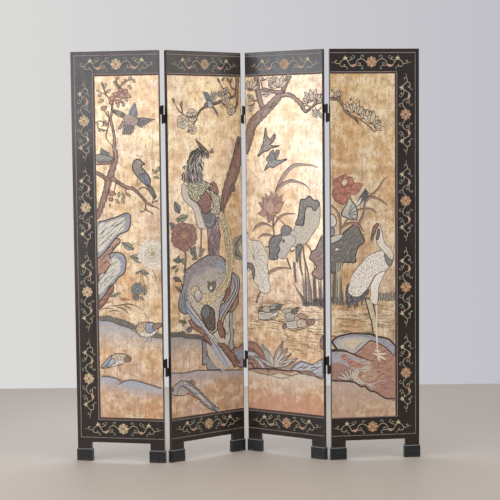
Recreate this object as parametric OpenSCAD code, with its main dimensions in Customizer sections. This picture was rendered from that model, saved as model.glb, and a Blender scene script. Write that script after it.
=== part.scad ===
// Four-panel folding lacquer screen, standing half folded.
// Front faces look along -Y and +Z is up. The origin is on the floor, under the middle of the
// screen's own box. A panel is drawn in its own frame: x from its left edge, y from its front
// face to its back, z from the floor.

/* [Panels] */
// Height of the screen from the floor
panel_h = 1829; // [1500:1:2200]
// Width of one panel
panel_w = 402; // [340:1:520]
// Thickness of one panel over both faces
panel_t = 19; // [17:0.5:26]
// Thickness of the lacquered board on each face
board_t = 3; // [2:0.5:4]

/* [Frame] */
// Width of a stile and of its leg
stile_w = 65; // [50:1:80]
// Height of the bottom rail's underside above the floor
leg_h = 85.5; // [70:0.5:140]
// Height of the top and bottom rails
rail_h = 80; // [60:1:100]
// Length of a rail's tenon
tenon_l = 32; // [20:1:40]
// Thickness of a rail's tenon
tenon_t = 6; // [4:0.5:7]
// Shoulder above and below a tenon
tenon_shoulder = 14; // [8:1:20]
// Number of planks in a panel's core
plank_count = 3; // [2:1:5]
// Thickness of the tongues around the core
tongue_t = 5; // [3:0.5:6]
// Depth of the tongues around the core
tongue_d = 7; // [4:0.5:10]
// Room for the core planks to swell
plank_gap = 0.6; // [0.3:0.1:1.5]
// Clearance around a tenon, a tongue and a foot in its shoe
fit_gap = 0.15; // [0.05:0.05:0.3]

/* [Shoes] */
// Height of a metal shoe
shoe_h = 55; // [40:1:65]
// Wall of a shoe at the sides of the leg
shoe_side = 4.2; // [2:0.1:5]
// Wall of a shoe at the front and back of the leg
shoe_face = 2; // [1.5:0.1:2.3]
// Thickness of a shoe's sole
shoe_sole = 4; // [2:0.5:6]
// Bevel along the top edge of a shoe
shoe_bevel = 1.2; // [0.5:0.1:1.8]
// Radius of a shoe nail
nail_r = 0.9; // [0.6:0.1:1.3]
// Length of a shoe nail under its head
nail_l = 14; // [8:1:20]
// Radius of a nail's head
nail_head_r = 2; // [1.6:0.1:2.6]
// Thickness of a nail's head
nail_head_t = 0.8; // [0.5:0.1:1.2]
// Height of the nails above the floor
nail_z = 34; // [15:1:38]

/* [Hinges] */
// Gap between two panels laid out flat
hinge_gap = 18; // [16:0.5:26]
// Distance of the pin's axis outside the faces that close on each other
pin_out = 3; // [2.8:0.1:5]
// Height of a hinge
leaf_h = 76; // [60:1:100]
// Thickness of a hinge leaf
leaf_t = 2; // [1.5:0.1:3]
// Width of a hinge leaf on the panel's edge
leaf_w = 16; // [15:0.5:17]
// Width of a knuckle's arm where it leaves the leaf
arm_w = 5; // [3:0.5:6]
// Outer radius of a knuckle
knuckle_r = 5; // [4.5:0.1:6]
// Gap between the two knuckles of a hinge
knuckle_gap = 0.4; // [0.2:0.1:1]
// Centre of the lower hinges above the floor
lower_hinge_z = 426; // [250:1:600]
// Centre of the upper hinges below the top of the screen
upper_hinge_drop = 280; // [200:1:500]
// Radius of a hinge pin
pin_r = 3; // [2.5:0.1:3.5]
// Radial clearance of a pin in its knuckles
pin_gap = 0.06; // [0.03:0.01:0.1]
// Radius of a pin's head
pin_head_r = 4.6; // [4:0.1:5.5]
// Height of a pin's head
pin_head_h = 3; // [2:0.5:5]
// Length of the pin's end under the lower knuckle
pin_tail = 5; // [4:0.5:10]

/* [Hinge screws] */
// Screws in each leaf
screw_count = 3; // [2:1:4]
// Radius of a screw's shank
screw_r = 1.6; // [1.2:0.1:2]
// Length of a screw with its head
screw_l = 18; // [12:1:25]
// Radius of a screw's head
screw_head_r = 3.2; // [2.8:0.1:3.8]
// Height of a screw's countersunk head
screw_head_h = 1.6; // [1.2:0.1:1.6]
// Distance of the end screws from the ends of the leaf
screw_inset = 9; // [7:1:15]
// Width of the slot in a screw's head
slot_w = 0.8; // [0.5:0.1:1]
// Radial clearance around screws and nails
screw_gap = 0.05; // [0.03:0.01:0.1]

/* [Standing pose] */
// Heading of the first panel, positive with its right end to the back
first_heading = -10.7; // [-60:0.1:60]
// Fold between the first and second panels, 0 when flat
fold_1 = 47.2; // [0:0.1:120]
// Fold between the second and third panels, 0 when flat
fold_2 = 68.4; // [0:0.1:120]
// Fold between the third and fourth panels, 0 when flat
fold_3 = 38.8; // [0:0.1:120]

/* [Hidden] */
$fn = 48;
eps = 0.01;
lacquer = "#1b1a1c";
gold = "#c9a063";
bare_wood = "#b08a5c";
iron = "#232323";
steel = "#9a9a98";
brass = "#a3803f";

panel_count = 4;
frame_t = panel_t - 2 * board_t;
frame_y = board_t;
rail_w = panel_w - 2 * stile_w;
bottom_rail_z = leg_h;
top_rail_z = panel_h - rail_h;
tenon_h = rail_h - 2 * tenon_shoulder;
core_z0 = bottom_rail_z + rail_h;
core_h = top_rail_z - core_z0;
plank_w = (rail_w - (plank_count + 1) * plank_gap) / plank_count;
leaf_z = [lower_hinge_z, panel_h - upper_hinge_drop];

// Rest headings of the panels, in degrees about +Z
headings = [
    first_heading,
    first_heading + fold_1,
    first_heading + fold_1 - fold_2,
    first_heading + fold_1 - fold_2 + fold_3
];

function turned(p, a) = [p.x * cos(a) - p.y * sin(a), p.x * sin(a) + p.y * cos(a)];

// The backs close at the first and third joints, and the fronts at the second
function back_closes(joint) = joint % 2 == 0;
function pin_y(joint) = back_closes(joint) ? panel_t + pin_out : -pin_out;
function right_pin(k) = [panel_w + hinge_gap / 2, pin_y(k)];
function left_pin(k) = [-hinge_gap / 2, pin_y(k - 1)];

// Front left corner of panel k, measured from that of the first panel
function chained(k) = k == 0
    ? [0, 0]
    : chained(k - 1) + turned(right_pin(k - 1), headings[k - 1]) - turned(left_pin(k), headings[k]);

// Corners of a panel's footprint, with its shoes
function footprint(k) = [
    for (x = [-shoe_side, panel_w + shoe_side], y = [-shoe_face, panel_t + shoe_face])
        chained(k) + turned([x, y], headings[k])
];
all_corners = [for (k = [0 : panel_count - 1]) each footprint(k)];
xs = [for (p = all_corners) p.x];
ys = [for (p = all_corners) p.y];
middle = [(min(xs) + max(xs)) / 2, (min(ys) + max(ys)) / 2];

// Puts a panel's parts where the panel stands
module in_panel(k) {
    p = chained(k) - middle;
    translate([p.x, p.y, 0]) rotate([0, 0, headings[k]]) children();
}

// Puts what is drawn for a right edge on either edge: x out of the edge, y from the closing face
// into the panel
module on_edge(k, side) {
    joint = side == "right" ? k : k - 1;
    x = side == "right" ? panel_w : 0;
    y = back_closes(joint) ? panel_t : 0;
    translate([x, y, 0])
        mirror([side == "right" ? 0 : 1, 0, 0])
            mirror([0, back_closes(joint) ? 1 : 0, 0])
                children();
}

// Edges of panel k that carry hinges
function hinge_sides(k) = [
    if (k > 0) "left",
    if (k < panel_count - 1) "right"
];

// Puts what is drawn for a left stile or shoe on either side of the panel
module on_side(side) {
    if (side == "left") children();
    else translate([panel_w, 0, 0]) mirror([1, 0, 0]) children();
}

// Centre heights of the screws in the leaf whose middle is at z
function screw_heights(z) = [
    for (i = [0 : screw_count - 1])
        z - leaf_h / 2 + screw_inset + i * (leaf_h - 2 * screw_inset) / (screw_count - 1)
];

// Middle of the flat of the leaf that the knuckle's arm leaves free
screw_y = (leaf_w + arm_w) / 2;

// A round bar along x, from x0 to x1, at y and z
module bar(x0, x1, y, z, r1, r2) {
    translate([x0, y, z]) rotate([0, 90, 0]) cylinder(h = x1 - x0, r1 = r1, r2 = r2);
}

// One countersunk screw in a right edge, or its hole when it is drawn with a gap
module screw(z, gap) {
    bar(-screw_l, eps - screw_head_h, screw_y, z, screw_r + gap, screw_r + gap);
    bar(-screw_head_h, 0, screw_y, z, screw_r + gap, screw_head_r + gap);
}

// Recesses for the hinge leaves and holes for their screws
module hinge_cuts(k) {
    for (side = hinge_sides(k), z = leaf_z) on_edge(k, side) {
        translate([-leaf_t, -eps, z - leaf_h / 2]) cube([leaf_t + eps, leaf_w + eps, leaf_h]);
        for (h = screw_heights(z)) screw(h, screw_gap);
    }
}

// One nail through the outer wall of a left shoe, or its hole when it is drawn with a gap
module outer_nail(gap) {
    bar(-shoe_side, nail_l - shoe_side, panel_t / 2, nail_z, nail_r + gap, nail_r + gap);
    bar(-shoe_side, nail_head_t - shoe_side, panel_t / 2, nail_z, nail_head_r + gap, nail_head_r + gap);
}

// Both nails of a left shoe
module nail_pair(gap) {
    outer_nail(gap);
    translate([stile_w, 0, 0]) mirror([1, 0, 0]) outer_nail(gap);
}

// Upright member of the frame, full thickness at the leg and rebated for the boards above it
module stile(k, side) {
    color(lacquer) difference() {
        on_side(side) difference() {
            union() {
                translate([0, 0, shoe_sole]) cube([stile_w, panel_t, leg_h - shoe_sole]);
                translate([0, frame_y, leg_h - eps]) cube([stile_w, frame_t, panel_h - leg_h + eps]);
            }
            for (z = [bottom_rail_z, top_rail_z])
                translate([stile_w - tenon_l - fit_gap, panel_t / 2, z + tenon_shoulder - fit_gap])
                    translate([0, -tenon_t / 2 - fit_gap, 0])
                        cube([tenon_l + fit_gap + eps, tenon_t + 2 * fit_gap, tenon_h + 2 * fit_gap]);
            translate([stile_w - tongue_d - fit_gap, panel_t / 2 - tongue_t / 2 - fit_gap, core_z0])
                cube([tongue_d + fit_gap + eps, tongue_t + 2 * fit_gap, core_h]);
            nail_pair(screw_gap);
        }
        hinge_cuts(k);
    }
}

// Rail with a tenon at each end and a groove for the core planks
module rail(z, groove_z) {
    color(lacquer) difference() {
        union() {
            translate([stile_w, frame_y, z]) cube([rail_w, frame_t, rail_h]);
            translate([stile_w - tenon_l, (panel_t - tenon_t) / 2, z + tenon_shoulder])
                cube([rail_w + 2 * tenon_l, tenon_t, tenon_h]);
        }
        translate([stile_w - eps, panel_t / 2 - tongue_t / 2 - fit_gap, groove_z - fit_gap])
            cube([rail_w + 2 * eps, tongue_t + 2 * fit_gap, tongue_d + 2 * fit_gap]);
    }
}

module top_rail() {
    rail(top_rail_z, top_rail_z);
}

module bottom_rail() {
    rail(bottom_rail_z, core_z0 - tongue_d);
}

// Upright planks that fill the frame, with tongues into the rails and the stiles
module core_planks() {
    pitch = plank_w + plank_gap;
    color(bare_wood) for (i = [0 : plank_count - 1]) {
        x = stile_w + plank_gap + i * pitch;
        first = i == 0 ? tongue_d + plank_gap : 0;
        last = i == plank_count - 1 ? tongue_d + plank_gap : 0;
        translate([x, frame_y, core_z0 + fit_gap]) cube([plank_w, frame_t, core_h - 2 * fit_gap]);
        translate([x, (panel_t - tongue_t) / 2, core_z0 - tongue_d])
            cube([plank_w, tongue_t, core_h + 2 * tongue_d]);
        translate([x - first, (panel_t - tongue_t) / 2, core_z0 + fit_gap])
            cube([first + plank_w + last, tongue_t, core_h - 2 * fit_gap]);
    }
}

// Thin board over a whole face above the legs
module face_board(k, y) {
    difference() {
        translate([0, y, leg_h]) cube([panel_w, board_t, panel_h - leg_h]);
        hinge_cuts(k);
    }
}

module front_board(k) {
    color(gold) face_board(k, 0);
}

module back_board(k) {
    color(lacquer) face_board(k, panel_t - board_t);
}

// Outline of a block of the given width and height with its two upper corners cut
module bevelled(w, h) {
    polygon([
        [0, 0],
        [w, 0],
        [w, h - shoe_bevel],
        [w - shoe_bevel, h],
        [shoe_bevel, h],
        [0, h - shoe_bevel]
    ]);
}

// Metal cup on the foot of a leg
module shoe(side) {
    w = stile_w + 2 * shoe_side;
    d = panel_t + 2 * shoe_face;
    color(lacquer) on_side(side) difference() {
        translate([-shoe_side, -shoe_face, 0]) intersection() {
            translate([0, d, 0]) rotate([90, 0, 0]) linear_extrude(d) bevelled(w, shoe_h);
            rotate([90, 0, 90]) linear_extrude(w) bevelled(d, shoe_h);
        }
        translate([-fit_gap, -fit_gap, shoe_sole])
            cube([stile_w + 2 * fit_gap, panel_t + 2 * fit_gap, shoe_h]);
        nail_pair(screw_gap);
    }
}

module shoe_nails() {
    color(brass) for (side = ["left", "right"]) on_side(side) nail_pair(0);
}

module hinge_screws(k) {
    color(steel) for (side = hinge_sides(k), z = leaf_z, h = screw_heights(z)) on_edge(k, side)
        difference() {
            screw(h, 0);
            translate([-screw_head_h / 2, screw_y - screw_head_r, h - slot_w / 2])
                cube([screw_head_h, 2 * screw_head_r, slot_w]);
        }
}

// Half of a hinge: a flat leaf let into the panel's edge, and one knuckle on an arm
module hinge_half(z, upper) {
    knuckle_h = (leaf_h - knuckle_gap) / 2;
    knuckle_z = upper ? z + knuckle_gap / 2 : z - leaf_h / 2;
    pin_x = hinge_gap / 2;
    difference() {
        union() {
            translate([-leaf_t, 0, z - leaf_h / 2]) cube([leaf_t, leaf_w, leaf_h]);
            translate([0, 0, knuckle_z]) linear_extrude(knuckle_h) polygon([
                [-leaf_t, 0],
                [pin_x, -pin_out - knuckle_r * 0.9],
                [pin_x, -pin_out + knuckle_r * 0.9],
                [-leaf_t, arm_w]
            ]);
            translate([pin_x, -pin_out, knuckle_z]) cylinder(h = knuckle_h, r = knuckle_r);
        }
        translate([pin_x, -pin_out, knuckle_z - eps])
            cylinder(h = knuckle_h + 2 * eps, r = pin_r + pin_gap);
        for (h = screw_heights(z)) screw(h, screw_gap);
    }
}

// The upper knuckles are on the first and third panels
module hinge_leaves(k, side) {
    color(iron) on_edge(k, side) for (z = leaf_z) hinge_half(z, k % 2 == 0);
}

// Loose pin with a domed head and a round end, dropped into both knuckles
module hinge_pin(joint, z) {
    p = right_pin(joint);
    top = z + leaf_h / 2;
    bottom = z - leaf_h / 2 - pin_tail;
    color(iron) translate([p.x, p.y, 0]) {
        translate([0, 0, bottom + pin_r]) cylinder(h = top - bottom - pin_r + eps, r = pin_r);
        translate([0, 0, bottom + pin_r]) sphere(r = pin_r);
        translate([0, 0, top]) cylinder(h = pin_head_h / 2, r = pin_head_r);
        translate([0, 0, top + pin_head_h / 2 - eps])
            cylinder(h = pin_head_h / 2 + eps, r1 = pin_head_r, r2 = pin_head_r * 0.7);
    }
}

for (k = [0 : panel_count - 1]) {
    name = str("panel_", k + 1, "_");
    in_panel(k) stile(k, "left");
    in_panel(k) stile(k, "right");
    in_panel(k) top_rail();
    in_panel(k) bottom_rail();
    in_panel(k) core_planks();
    in_panel(k) front_board(k);
    in_panel(k) back_board(k);
    in_panel(k) shoe("left");
    in_panel(k) shoe("right");
    in_panel(k) shoe_nails();
    in_panel(k) hinge_screws(k);
}
for (j = [0 : panel_count - 2]) {
    right = str("panel_", j + 1, "_right_leaves");
    left = str("panel_", j + 2, "_left_leaves");
    pin = str("joint_", j + 1);
    in_panel(j) hinge_leaves(j, "right");
    in_panel(j + 1) hinge_leaves(j + 1, "left");
    in_panel(j) hinge_pin(j, leaf_z[0]);
    in_panel(j) hinge_pin(j, leaf_z[1]);
}
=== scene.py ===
"""Four-panel folding lacquer screen, dressed on its construction frame.

Every panel gets a rounded lacquer body, a gilded ground, border lines, scroll ornament and a bird-and-flower
picture in low relief. Picture outlines are in millimetres on a panel's face: x from its left edge, y from
the floor."""

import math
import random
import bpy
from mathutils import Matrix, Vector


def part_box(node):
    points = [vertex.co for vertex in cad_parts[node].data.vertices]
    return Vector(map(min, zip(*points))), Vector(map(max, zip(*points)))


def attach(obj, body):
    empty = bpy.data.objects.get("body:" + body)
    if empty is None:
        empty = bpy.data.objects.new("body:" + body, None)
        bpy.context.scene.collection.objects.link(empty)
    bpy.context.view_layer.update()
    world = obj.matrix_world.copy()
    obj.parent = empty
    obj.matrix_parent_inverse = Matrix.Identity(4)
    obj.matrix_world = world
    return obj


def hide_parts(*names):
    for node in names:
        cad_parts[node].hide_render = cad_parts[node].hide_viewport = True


bl_info = {"name": "Folding lacquer screen", "version": (1, 0, 0), "blender": (4, 5, 0),
    "location": "3D view > Sidebar > Lacquer screen", "description": "Dresses the four-panel screen with "
    "lacquer, gold leaf, ornament and pictures", "category": "Object",}

import bpy
from bpy.props import FloatProperty, FloatVectorProperty, IntProperty, PointerProperty
from mathutils import Matrix, Vector

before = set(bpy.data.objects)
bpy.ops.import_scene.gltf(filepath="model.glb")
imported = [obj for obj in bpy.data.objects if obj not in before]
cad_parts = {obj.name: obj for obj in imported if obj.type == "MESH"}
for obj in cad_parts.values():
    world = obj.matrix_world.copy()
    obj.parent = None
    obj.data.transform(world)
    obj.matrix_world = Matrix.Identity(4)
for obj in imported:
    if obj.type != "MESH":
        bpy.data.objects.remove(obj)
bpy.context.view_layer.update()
PANELS = (1, 2, 3, 4)
MM = 0.001
# Each panel's pattern coordinates start this many metres further along than those of the one before it.
PATTERN_SHIFT = 0.7
# Thin layers reach this far down into the lacquer under them, in metres.
SINK = 0.0001


def linear(code):
    """An sRGB hex colour as linear red, green and blue."""
    parts = [int(code[i:i + 2], 16) / 255 for i in (1, 3, 5)]
    return tuple(c / 12.92 if c <= 0.04045 else ((c + 0.055) / 1.055) ** 2.4 for c in parts)


def rgba(code):
    """An sRGB hex colour as linear red, green, blue and alpha."""
    return (*linear(code), 1.0)


# ---------------------------------------------------------------- sizes and colours that a user may change

def length(name, default_mm, text):
    """A length property, given in millimetres."""
    return FloatProperty(name=name, default=default_mm * MM, min=0.0, unit="LENGTH", precision=5,
        description=text)


def colour(name, code, text):
    return FloatVectorProperty(name=name, default=linear(code), size=3, min=0.0, max=1.0, subtype="COLOR",
        description=text)


class ScreenSizes(bpy.types.PropertyGroup):
    arris: length("Arris", 1.3, "Radius that the lacquer leaves on the edges of a panel")
    outer_line: length("Outer line", 17.5, "Outer border line's distance from the panel's edge")
    outer_foot: length("Outer line at the foot", 22.0, "Outer border line's distance above the bottom "
        "rail's edge")
    inner_line: length("Inner line", 100.5, "Inner border line's distance from the panel's edge")
    inner_foot: length("Inner line at the foot", 103.6, "Inner border line's distance above the rail's edge")
    line_w: length("Border line width", 2.6, "Width of the painted border lines")
    gold_gap: length("Band inside the inner line", 9.5, "Dark band between the inner line and the gold")
    gold_edge: length("Gold edge", 2.5, "Bare lacquer between the gold and a hinged edge")
    gold_t: length("Gilding thickness", 0.25, "Thickness of the gilded ground over the lacquer")
    step: length("Paint step", 0.012, "Height that each painted shape adds to the one below it")
    crown: length("Line crown", 0.09, "Most that a raised line stands over its ground")
    ink: FloatProperty(name="Ink weight", default=1.8, min=0.5, description="How much wider than drawn the "
        "ink is")
    seed: IntProperty(name="Seed", default=7, description="Seed of the ripples, grasses and speckles")


class ScreenColours(bpy.types.PropertyGroup):
    lacquer: colour("Lacquer", "#1c1512", "Polished black lacquer")
    wear: colour("Worn arris", "#5a4438", "Brown ground showing through the lacquer on the edges")
    border_line: colour("Border lines", "#8f7f78", "Rose-brown border lines")
    band: colour("Inner band", "#3d2620", "Dark brown band round the gold")
    gold_high: colour("Gold, top", "#f0d5a4", "Gold leaf near the top of the picture")
    gold_mid: colour("Gold, middle", "#ead2ae", "Gold leaf in the middle of the picture")
    gold_low: colour("Gold, foot", "#d4b093", "Warm gold at the foot of the picture")
    wall: colour("Backdrop", "#dcdbd9", "Plain pale backdrop")
    floor: colour("Floor", "#cabfb2", "Plain pale floor")


def sizes():
    return bpy.context.scene.screen_sizes


def colours():
    return bpy.context.scene.screen_colours


# ---------------------------------------------------------------- where the panels stand

class PanelPlace:
    """Size and place of one panel, read from its own nodes in the frame."""

    def __init__(self, number):
        self.number = number
        self.body = f"panel_{number}"
        left, right = (self.middle(f"{self.body}_{side}_shoe") for side in ("left", "right"))
        self.across = (right - left).normalized()
        self.out = Vector((self.across.y, -self.across.x, 0.0))
        front = self.points("front_board")
        back = self.points("back_board")
        stile = self.points("left_stile")
        self.x0 = min(p.dot(self.across) for p in front)
        self.width = max(p.dot(self.across) for p in front) - self.x0
        self.face = max(p.dot(self.out) for p in front)
        self.thickness = self.face - min(p.dot(self.out) for p in back)
        self.height = max(p.z for p in front)
        self.rail = min(p.z for p in front)
        self.foot = min(p.z for p in stile)
        self.leg = max(p.dot(self.across) for p in stile) - min(p.dot(self.across) for p in stile)

    def middle(self, node):
        low, high = (Vector(c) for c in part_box(node))
        return (low + high) / 2

    def points(self, part):
        return [v.co.copy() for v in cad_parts[f"{self.body}_{part}"].data.vertices]

    def front_matrix(self):
        """From the panel's own x, y and outward z to the shared frame."""
        origin = self.across * self.x0 + self.out * self.face
        axes = Matrix((self.across, Vector((0, 0, 1)), self.out)).transposed().to_4x4()
        return Matrix.Translation(origin) @ axes

    def back_matrix(self):
        """The same for the back, seen from behind."""
        origin = self.across * (self.x0 + self.width) + self.out * (self.face - self.thickness)
        axes = Matrix((-self.across, Vector((0, 0, 1)), -self.out)).transposed().to_4x4()
        return Matrix.Translation(origin) @ axes


PLACES = {number: PanelPlace(number) for number in PANELS}


# ---------------------------------------------------------------- nodes and materials

def add(tree, kind, links=None, **settings):
    """Adds a node with its settings, and sets or links its inputs."""
    made = tree.nodes.new(kind)
    for name, value in settings.items():
        setattr(made, name, value)
    feed(made, links or {})
    return made


def feed(node, inputs):
    """Sets a node's inputs to values, or links them to other nodes' outputs."""
    for socket, value in inputs.items():
        target = node.inputs[socket]
        if isinstance(value, bpy.types.NodeSocket):
            node.id_data.links.new(value, target)
        else:
            target.default_value = value


def ramp(tree, factor, stops):
    """A colour ramp through (place, linear colour) stops."""
    made = add(tree, "ShaderNodeValToRGB", {"Fac": factor})
    elements = made.color_ramp.elements
    while len(elements) < len(stops):
        elements.new(1.0)
    for element, (place, shade) in zip(elements, stops):
        element.position = place
        element.color = (*shade, 1.0)
    return made.outputs["Color"]


def shader(name, panel=False):
    """A new material: itself, its tree, its one Principled shader, and where on the object, or on a panel's
    face, a point lies."""
    material = bpy.data.materials.new(name)
    material.use_nodes = True
    tree = material.node_tree
    if panel:
        place = add(tree, "ShaderNodeUVMap", uv_map="panel").outputs["UV"]
    else:
        place = add(tree, "ShaderNodeTexCoord").outputs["Object"]
    return material, tree, tree.nodes["Principled BSDF"], place


def mixed(tree, factor, first, second, blend="MIX"):
    """Two colours mixed by a factor."""
    made = add(tree, "ShaderNodeMix", {0: factor, 6: first, 7: second}, data_type="RGBA", blend_type=blend)
    return made.outputs[2]


def dent(tree, target, height, distance):
    """Sends a height to a shader's normal as a bump of that many metres."""
    made = add(tree, "ShaderNodeBump", {"Height": height, "Distance": distance, "Strength": 1.0})
    tree.links.new(made.outputs["Normal"], target.inputs["Normal"])


def noise(tree, place, size, detail=3.0, stretch=(1, 1, 1)):
    """Noise whose grains are about size metres, stretched along the axes."""
    scaled = add(tree, "ShaderNodeMapping", {"Vector": place, "Scale": tuple(1 / (size * s) for s
        in stretch)})
    made = add(tree, "ShaderNodeTexNoise", {"Vector": scaled.outputs[0], "Scale": 1.0, "Detail": detail})
    return made.outputs["Fac"]


def reckoned(tree, operation, first, second, clamp=False):
    """The result of a sum, product or comparison of two values."""
    return add(tree, "ShaderNodeMath", {0: first, 1: second}, operation=operation,
        use_clamp=clamp).outputs[0]


def limits(tree, value, low, high, to_low=0.0, to_high=1.0):
    """A value's place between low and high, as a number from to_low to to_high."""
    made = add(tree, "ShaderNodeMapRange", {0: value, 1: low, 2: high, 3: to_low, 4: to_high})
    return made.outputs[0]


def black_lacquer():
    """Polished black lacquer over wood: many rubbed coats, so a deep black with a soft gloss, brown where
    the arrises have worn, with faint rubbing haze."""
    material, tree, surface, place = shader("black_lacquer")
    worn = add(tree, "ShaderNodeAttribute", attribute_name="arris").outputs["Fac"]
    chips = limits(tree, noise(tree, place, 0.006, 4.0), 0.42, 0.62)
    base = mixed(tree, limits(tree, noise(tree, place, 0.09), 0.3, 0.75), (*colours().lacquer, 1.0),
        rgba("#261b17"))
    feed(surface, {"Base Color": mixed(tree, reckoned(tree, "MULTIPLY", chips, worn), base, (*colours().wear,
        1.0)), "Roughness": limits(tree, noise(tree, place, 0.03, 5.0, (1, 1, 3)), 0.3, 0.7, 0.2, 0.34),
        "Specular IOR Level": 0.27, "Coat Weight": 0.37, "Coat Roughness": 0.12})
    dent(tree, surface, noise(tree, place, 0.05, 2.0, (1, 1, 4)), 0.0006)
    return material


def gold_tone(tree, place):
    """Colour of the gold leaf at a place on the panel: squares with overlapped seams, clouds, fine pits and
    the wood's upright grain, warmer and browner towards the foot."""
    up = add(tree, "ShaderNodeSeparateXYZ", {0: place}).outputs["Y"]
    c = colours()
    height = limits(tree, up, 0.2, 1.72)
    tone = ramp(tree, height, ((0.0, c.gold_low), (0.1, c.gold_low), (0.25, c.gold_mid), (0.62, c.gold_mid),
        (0.85, c.gold_high), (1.0, c.gold_high)))
    leaves = add(tree, "ShaderNodeTexBrick", {"Vector": place, "Color1": rgba("#ffffff"),
        "Color2": rgba("#e3dbd0"), "Mortar": rgba("#c4b195"), "Scale": 1.0, "Mortar Size": 0.0012,
        "Mortar Smooth": 1.0, "Bias": 0.0, "Brick Width": 0.098, "Row Height": 0.098}, offset=0.37)
    patch = noise(tree, place, 0.2, 4.0, (1, 1.5, 1))
    blotch = noise(tree, place, 0.045, 6.0)
    mist = noise(tree, place, 0.015, 4.0, (1, 1.7, 1))
    streak = noise(tree, place, 0.018, 4.0, (1, 8, 1))
    fine = noise(tree, place, 0.006, 5.0)
    grain = noise(tree, place, 0.003, 4.0, (1, 22, 1))
    tone = mixed(tree, 0.5, tone, leaves.outputs["Color"], "MULTIPLY")
    for factor, low, high, share, shade in ((patch, 0.5, 0.62, 0.55, "#cf9450"), (patch, 0.48, 0.36, 0.5,
            "#cdab9b"), (blotch, 0.5, 0.66, 0.55, "#a98356"), (blotch, 0.5, 0.34, 0.55, "#f6e9cf"),
            (mist, 0.52, 0.68, 0.6, "#94734f"), (streak, 0.53, 0.7, 0.5, "#9a7d60"), (fine, 0.52, 0.66, 0.55,
            "#8c6b49"), (grain, 0.55, 0.7, 0.5, "#7d6046")):
        tone = mixed(tree, limits(tree, factor, low, high, 0.0, share), tone, rgba(shade))
    return tone, fine, grain


def gold_leaf():
    """Gold leaf laid in squares on a red-brown size and varnished: warm and only half metallic."""
    material, tree, surface, place = shader("gold_leaf", True)
    tone, fine, grain = gold_tone(tree, place)
    feed(surface, {"Base Color": tone, "Metallic": 0.25, "Roughness": limits(tree, fine, 0.3, 0.7, 0.3,
        0.48), "Coat Weight": 0.9, "Coat Roughness": 0.14})
    dent(tree, surface, grain, 0.0002)
    return material


def mineral_paint():
    """Mineral colours bound in lacquer and laid over the gold: matt and rubbed, so the gold shows through
    where they are thin or were washed out."""
    material, tree, surface, place = shader("mineral_paint", True)
    paint = add(tree, "ShaderNodeAttribute", attribute_name="paint").outputs["Color"]
    cover = add(tree, "ShaderNodeAttribute", attribute_name="cover").outputs["Fac"]
    gold = gold_tone(tree, place)[0]
    cloud = noise(tree, place, 0.014, 4.0)
    fleck = noise(tree, place, 0.0032, 4.0)
    tone = mixed(tree, limits(tree, cloud, 0.5, 0.72, 0.0, 0.3), paint, rgba("#453630"))
    tone = mixed(tree, limits(tree, cloud, 0.48, 0.3, 0.0, 0.18), tone, rgba("#e2d3bd"))
    tone = mixed(tree, limits(tree, fleck, 0.46, 0.34, 0.0, 0.3), tone, rgba("#e9dcc6"))
    tone = mixed(tree, limits(tree, fleck, 0.52, 0.6, 0.0, 0.22), tone, rgba("#3b2e28"))
    rubbed = reckoned(tree, "SUBTRACT", cover, limits(tree, fleck, 0.58, 0.7, 0.0, 0.45), True)
    thin = reckoned(tree, "SUBTRACT", rubbed, limits(tree, cloud, 0.3, 0.7, -0.35, 0.35), True)
    part = add(tree, "ShaderNodeMix", {0: limits(tree, cover, 0.75, 0.98), 2: thin, 3: rubbed},
        data_type="FLOAT").outputs[0]
    feed(surface, {"Base Color": mixed(tree, part, gold, tone), "Metallic": limits(tree, part, 0.0, 1.0,
        0.25, 0.0), "Roughness": limits(tree, part, 0.0, 1.0, 0.38, 0.5), "Coat Weight": 0.5,
        "Coat Roughness": 0.14})
    dent(tree, surface, fleck, 0.00015)
    return material


def thin_lacquer(name, shade=None, grain=0.012, under="#3a2c26", bare=0.6):
    """Coloured lacquer brushed on in one thin coat, for lines and scrolls: satin, and rubbed so that what
    lies under it shows in places. Without a shade it takes the colour that the piece's points carry."""
    material, tree, surface, place = shader(name, True)
    paint = (*shade, 1.0) if shade else add(tree, "ShaderNodeAttribute", attribute_name="paint").outputs[
        "Color"]
    rub = noise(tree, place, grain, 5.0)
    feed(surface, {"Base Color": mixed(tree, limits(tree, rub, 0.48, 0.72, 0.0, bare), paint, rgba(under)),
        "Roughness": 0.42})
    dent(tree, surface, rub, 0.0001)
    return material


def painted_iron():
    """Black stoved paint on wrought iron, brown at the high spots and slightly lumpy."""
    material, tree, surface, place = shader("painted_iron")
    lumps = noise(tree, place, 0.004, 4.0)
    feed(surface, {"Base Color": mixed(tree, limits(tree, lumps, 0.55, 0.75, 0.0, 0.6), rgba("#151413"),
        rgba("#3b2c24")), "Metallic": 0.3, "Roughness": limits(tree, lumps, 0.3, 0.7, 0.38, 0.6)})
    dent(tree, surface, lumps, 0.0002)
    return material


def lacquered_metal():
    """Sheet metal shoes under blue-black lacquer: glossier than the wood, with a painted highlight in grey
    on the upper bevel, and scuffed at the floor."""
    highlight_low, highlight_high, scuffed_up_to = 0.0518, 0.0528, 0.012
    material, tree, surface, place = shader("lacquered_metal")
    up = add(tree, "ShaderNodeSeparateXYZ", {0: place}).outputs["Z"]
    scuff = noise(tree, place, 0.008, 5.0)
    base = mixed(tree, limits(tree, scuff, 0.35, 0.7), rgba("#14171a"), rgba("#22262a"))
    # Painted highlight: the upper bevel is coloured grey where the light would catch it.
    base = mixed(tree, limits(tree, up, highlight_low, highlight_high), base, rgba("#7d8584"))
    worn = reckoned(tree, "MULTIPLY", limits(tree, up, scuffed_up_to, 0.0), limits(tree, scuff, 0.4, 0.6))
    feed(surface, {"Base Color": mixed(tree, worn, base, rgba("#54392b")), "Specular IOR Level": 0.35,
        "Roughness": limits(tree, scuff, 0.3, 0.7, 0.22, 0.4), "Coat Weight": 0.12})
    dent(tree, surface, scuff, 0.0002)
    return material


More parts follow.
